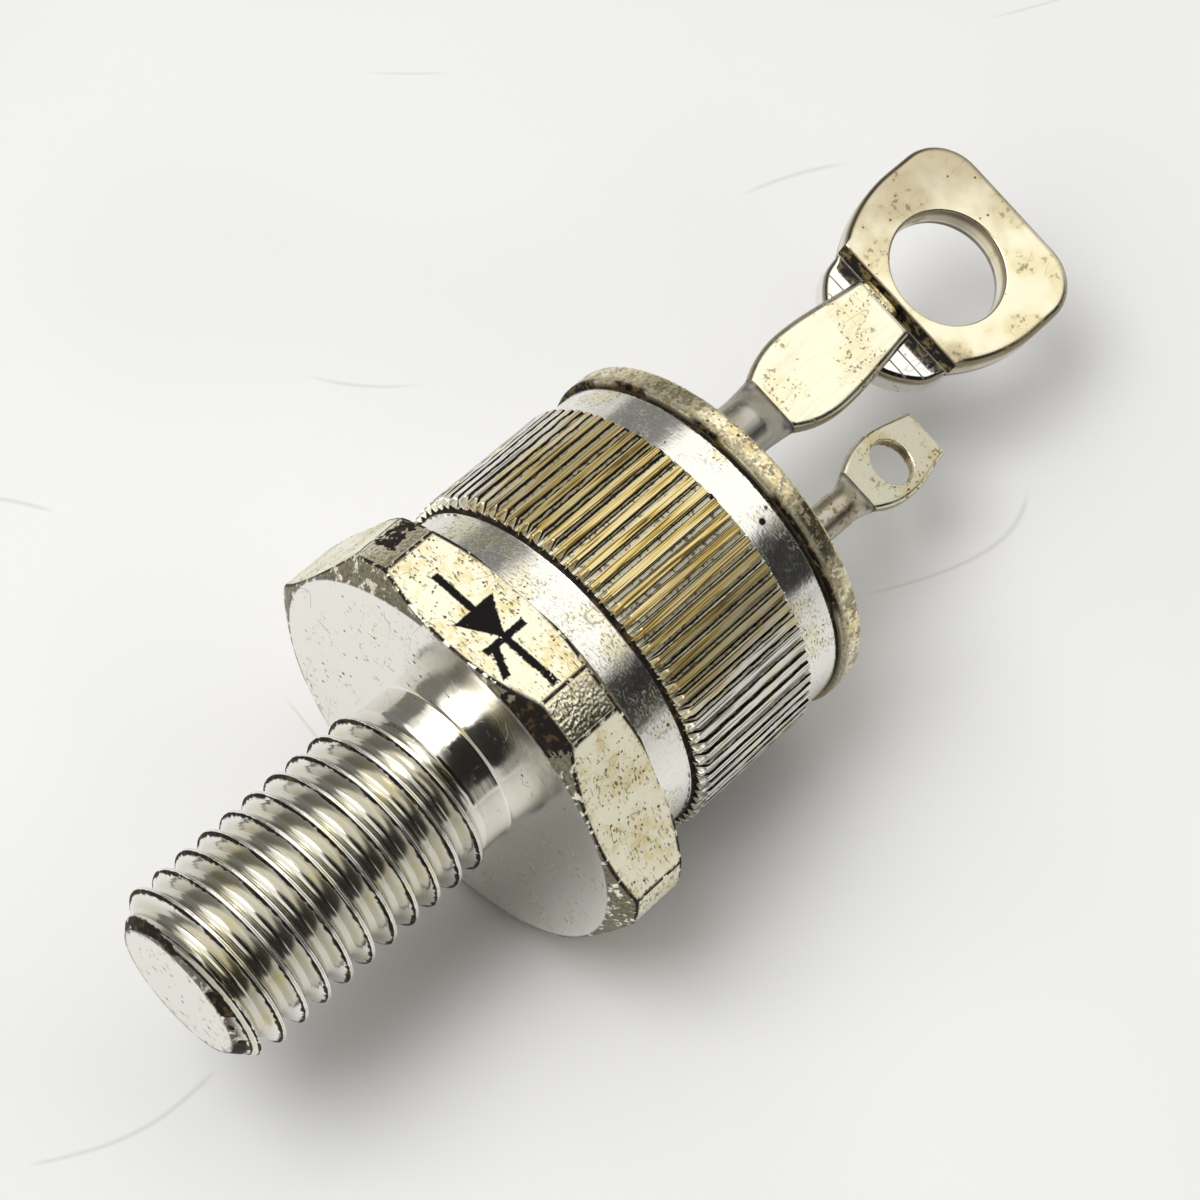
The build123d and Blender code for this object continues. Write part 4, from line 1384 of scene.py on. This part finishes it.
def add_world():
    """Pale room with a dim wall on one side and a dark one on the other, paler down at the floor."""
    world = bpy.data.worlds.new("studio")
    bpy.context.scene.world = world
    w = Graph(world)
    world.cycles.sampling_method = "NONE"
    direction = w.out("ShaderNodeTexCoord", output="Generated")
    height = w.parts(direction)[2]
    level_way = w.vectors("NORMALIZE", w.vectors("MULTIPLY", direction, (1, 1, 0)))

    def facing(directions, target, low, high):
        """0 to 1 as the cosine of the angle to a target goes from one level to another."""
        return w.spread(w.vectors("DOT_PRODUCT", directions, target, output="Value"), low, high)

    room = w.blend(facing(level_way, way(OLIVE_WALL, 0.0), 0.22, 0.42), ROOM_LEVEL, OLIVE_LEVEL)
    room = w.blend(facing(level_way, way(DARK_WALL, 0.0), 0.62, 0.84), room, DARK_LEVEL)
    room = w.blend(w.spread(height, 0.62, 0.72), room, SKY_LEVEL)
    edge = cos(OPERATOR_HALF_ANGLE)
    operator = facing(direction, way(OPERATOR_AZIMUTH, OPERATOR_ELEVATION), edge - 0.03, edge + 0.03)
    room = w.blend(operator, room, OPERATOR_LEVEL)
    room = w.blend(w.spread(height, 0.03, 0.11), PALE_LEVEL, room)
    background = w.tree.nodes["Background"]
    w.feed(background.inputs["Color"], ROOM_TINT)
    w.feed(background.inputs["Strength"], room)


def floor_material():
    """Pale laminate: faint mottling and a few hairline scratches."""
    s = Shader("floor", own_axes=True)
    line = s.below(s.off(s.noise(0.05, 0.0, 0.5), 0.5), 0.0, 0.0035)
    hair = line * s.spread(s.noise(0.11, 0.0), 0.56, 0.62)
    colour = s.mix(s.spread(s.noise(0.07, 0.0), 0.35, 0.65), FLOOR_COLOUR, SHADED_FLOOR)
    return s.finish(s.mix(hair * 0.25, colour, HAIRLINE), 0.42, 1.0)


def add_floor():
    """Floor under the part."""
    corners = [(FLOOR_HALF * x, FLOOR_HALF * y, 0) for x, y in ((-1, -1), (1, -1), (1, 1), (-1, 1))]
    floor = make_object("floor", corners, [(0, 1, 2, 3)])
    floor.location = (0, 0, -FLOOR_DROP)
    floor.data.materials.append(floor_material())


# ---------------------------------------------------------------- the dressed part


def paint_node(node, material):
    """Gives a kept CAD node a better material."""
    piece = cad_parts[node]
    if not piece.material_slots:
        piece.data.materials.append(material)
    for slot in piece.material_slots:
        slot.link = "OBJECT"
        slot.material = material


def dress_part():
    """Every visible piece, and the pieces sealed inside."""
    cathode = terminal_metal(
        "plated_terminal", CATHODE, (0.46, 0.44, 0.39, 1.0), (0.36, 0.33, 0.27, 1.0), STRAW, 0.2
    )
    gate = terminal_metal("plated_gate", GATE, (0.50, 0.47, 0.39, 1.0), (0.40, 0.35, 0.25, 1.0), GOLD, 0.7)
    shown = (
        (stud_base, "stud_base", "plated_base", plated_base(), 30),
        (knurled_case, "knurled_case", "plated_case", plated_case(), 33),
        (header_shell, "header_shell", "plated_header", plated_header(), 42),
        (header_glass, "header_glass", "seal_glass", seal_glass(), 50),
        (cathode_tube, "cathode_tube", "plated_terminal", cathode, 34),
        (gate_tube, "gate_tube", "plated_gate", gate, 34),
        (cathode_lug, "cathode_lug", "plated_lug", plated_lug(), 32),
        (lug_solder, "lug_solder", "solder", solder(), 60),
    )
    for build, node, slot, material, angle in shown:
        piece, masks = build()
        dress(piece, node, material, angle, masks)
    sealed = (
        ("braze", (0.72, 0.55, 0.28, 1.0), BROWN, 0.45, ("base_braze",)),
        (
            "inner_solder", (0.6, 0.6, 0.6, 1.0), (0.45, 0.44, 0.42, 1.0), 0.45,
            ("anode_solder", "die_solder", "cathode_solder", "gate_pad"),
        ),
        (
            "molybdenum", (0.42, 0.41, 0.40, 1.0), (0.34, 0.33, 0.32, 1.0), 0.38,
            ("anode_plate", "cathode_plate"),
        ),
        ("silicon", (0.10, 0.11, 0.14, 1.0), (0.14, 0.14, 0.17, 1.0), 0.15, ("silicon_die",)),
        ("lead_wire", (0.85, 0.48, 0.30, 1.0), (0.55, 0.30, 0.18, 1.0), 0.35, ("cathode_lead", "gate_lead")),
    )
    for name, colour, mottling, roughness, nodes in sealed:
        material = inner_metal(name, colour, mottling, roughness)
        for node in nodes:
            paint_node(node, material)


add_camera()
add_world()
add_key()
add_floor()
dress_part()
bpy.context.scene.view_settings.view_transform = "Standard"
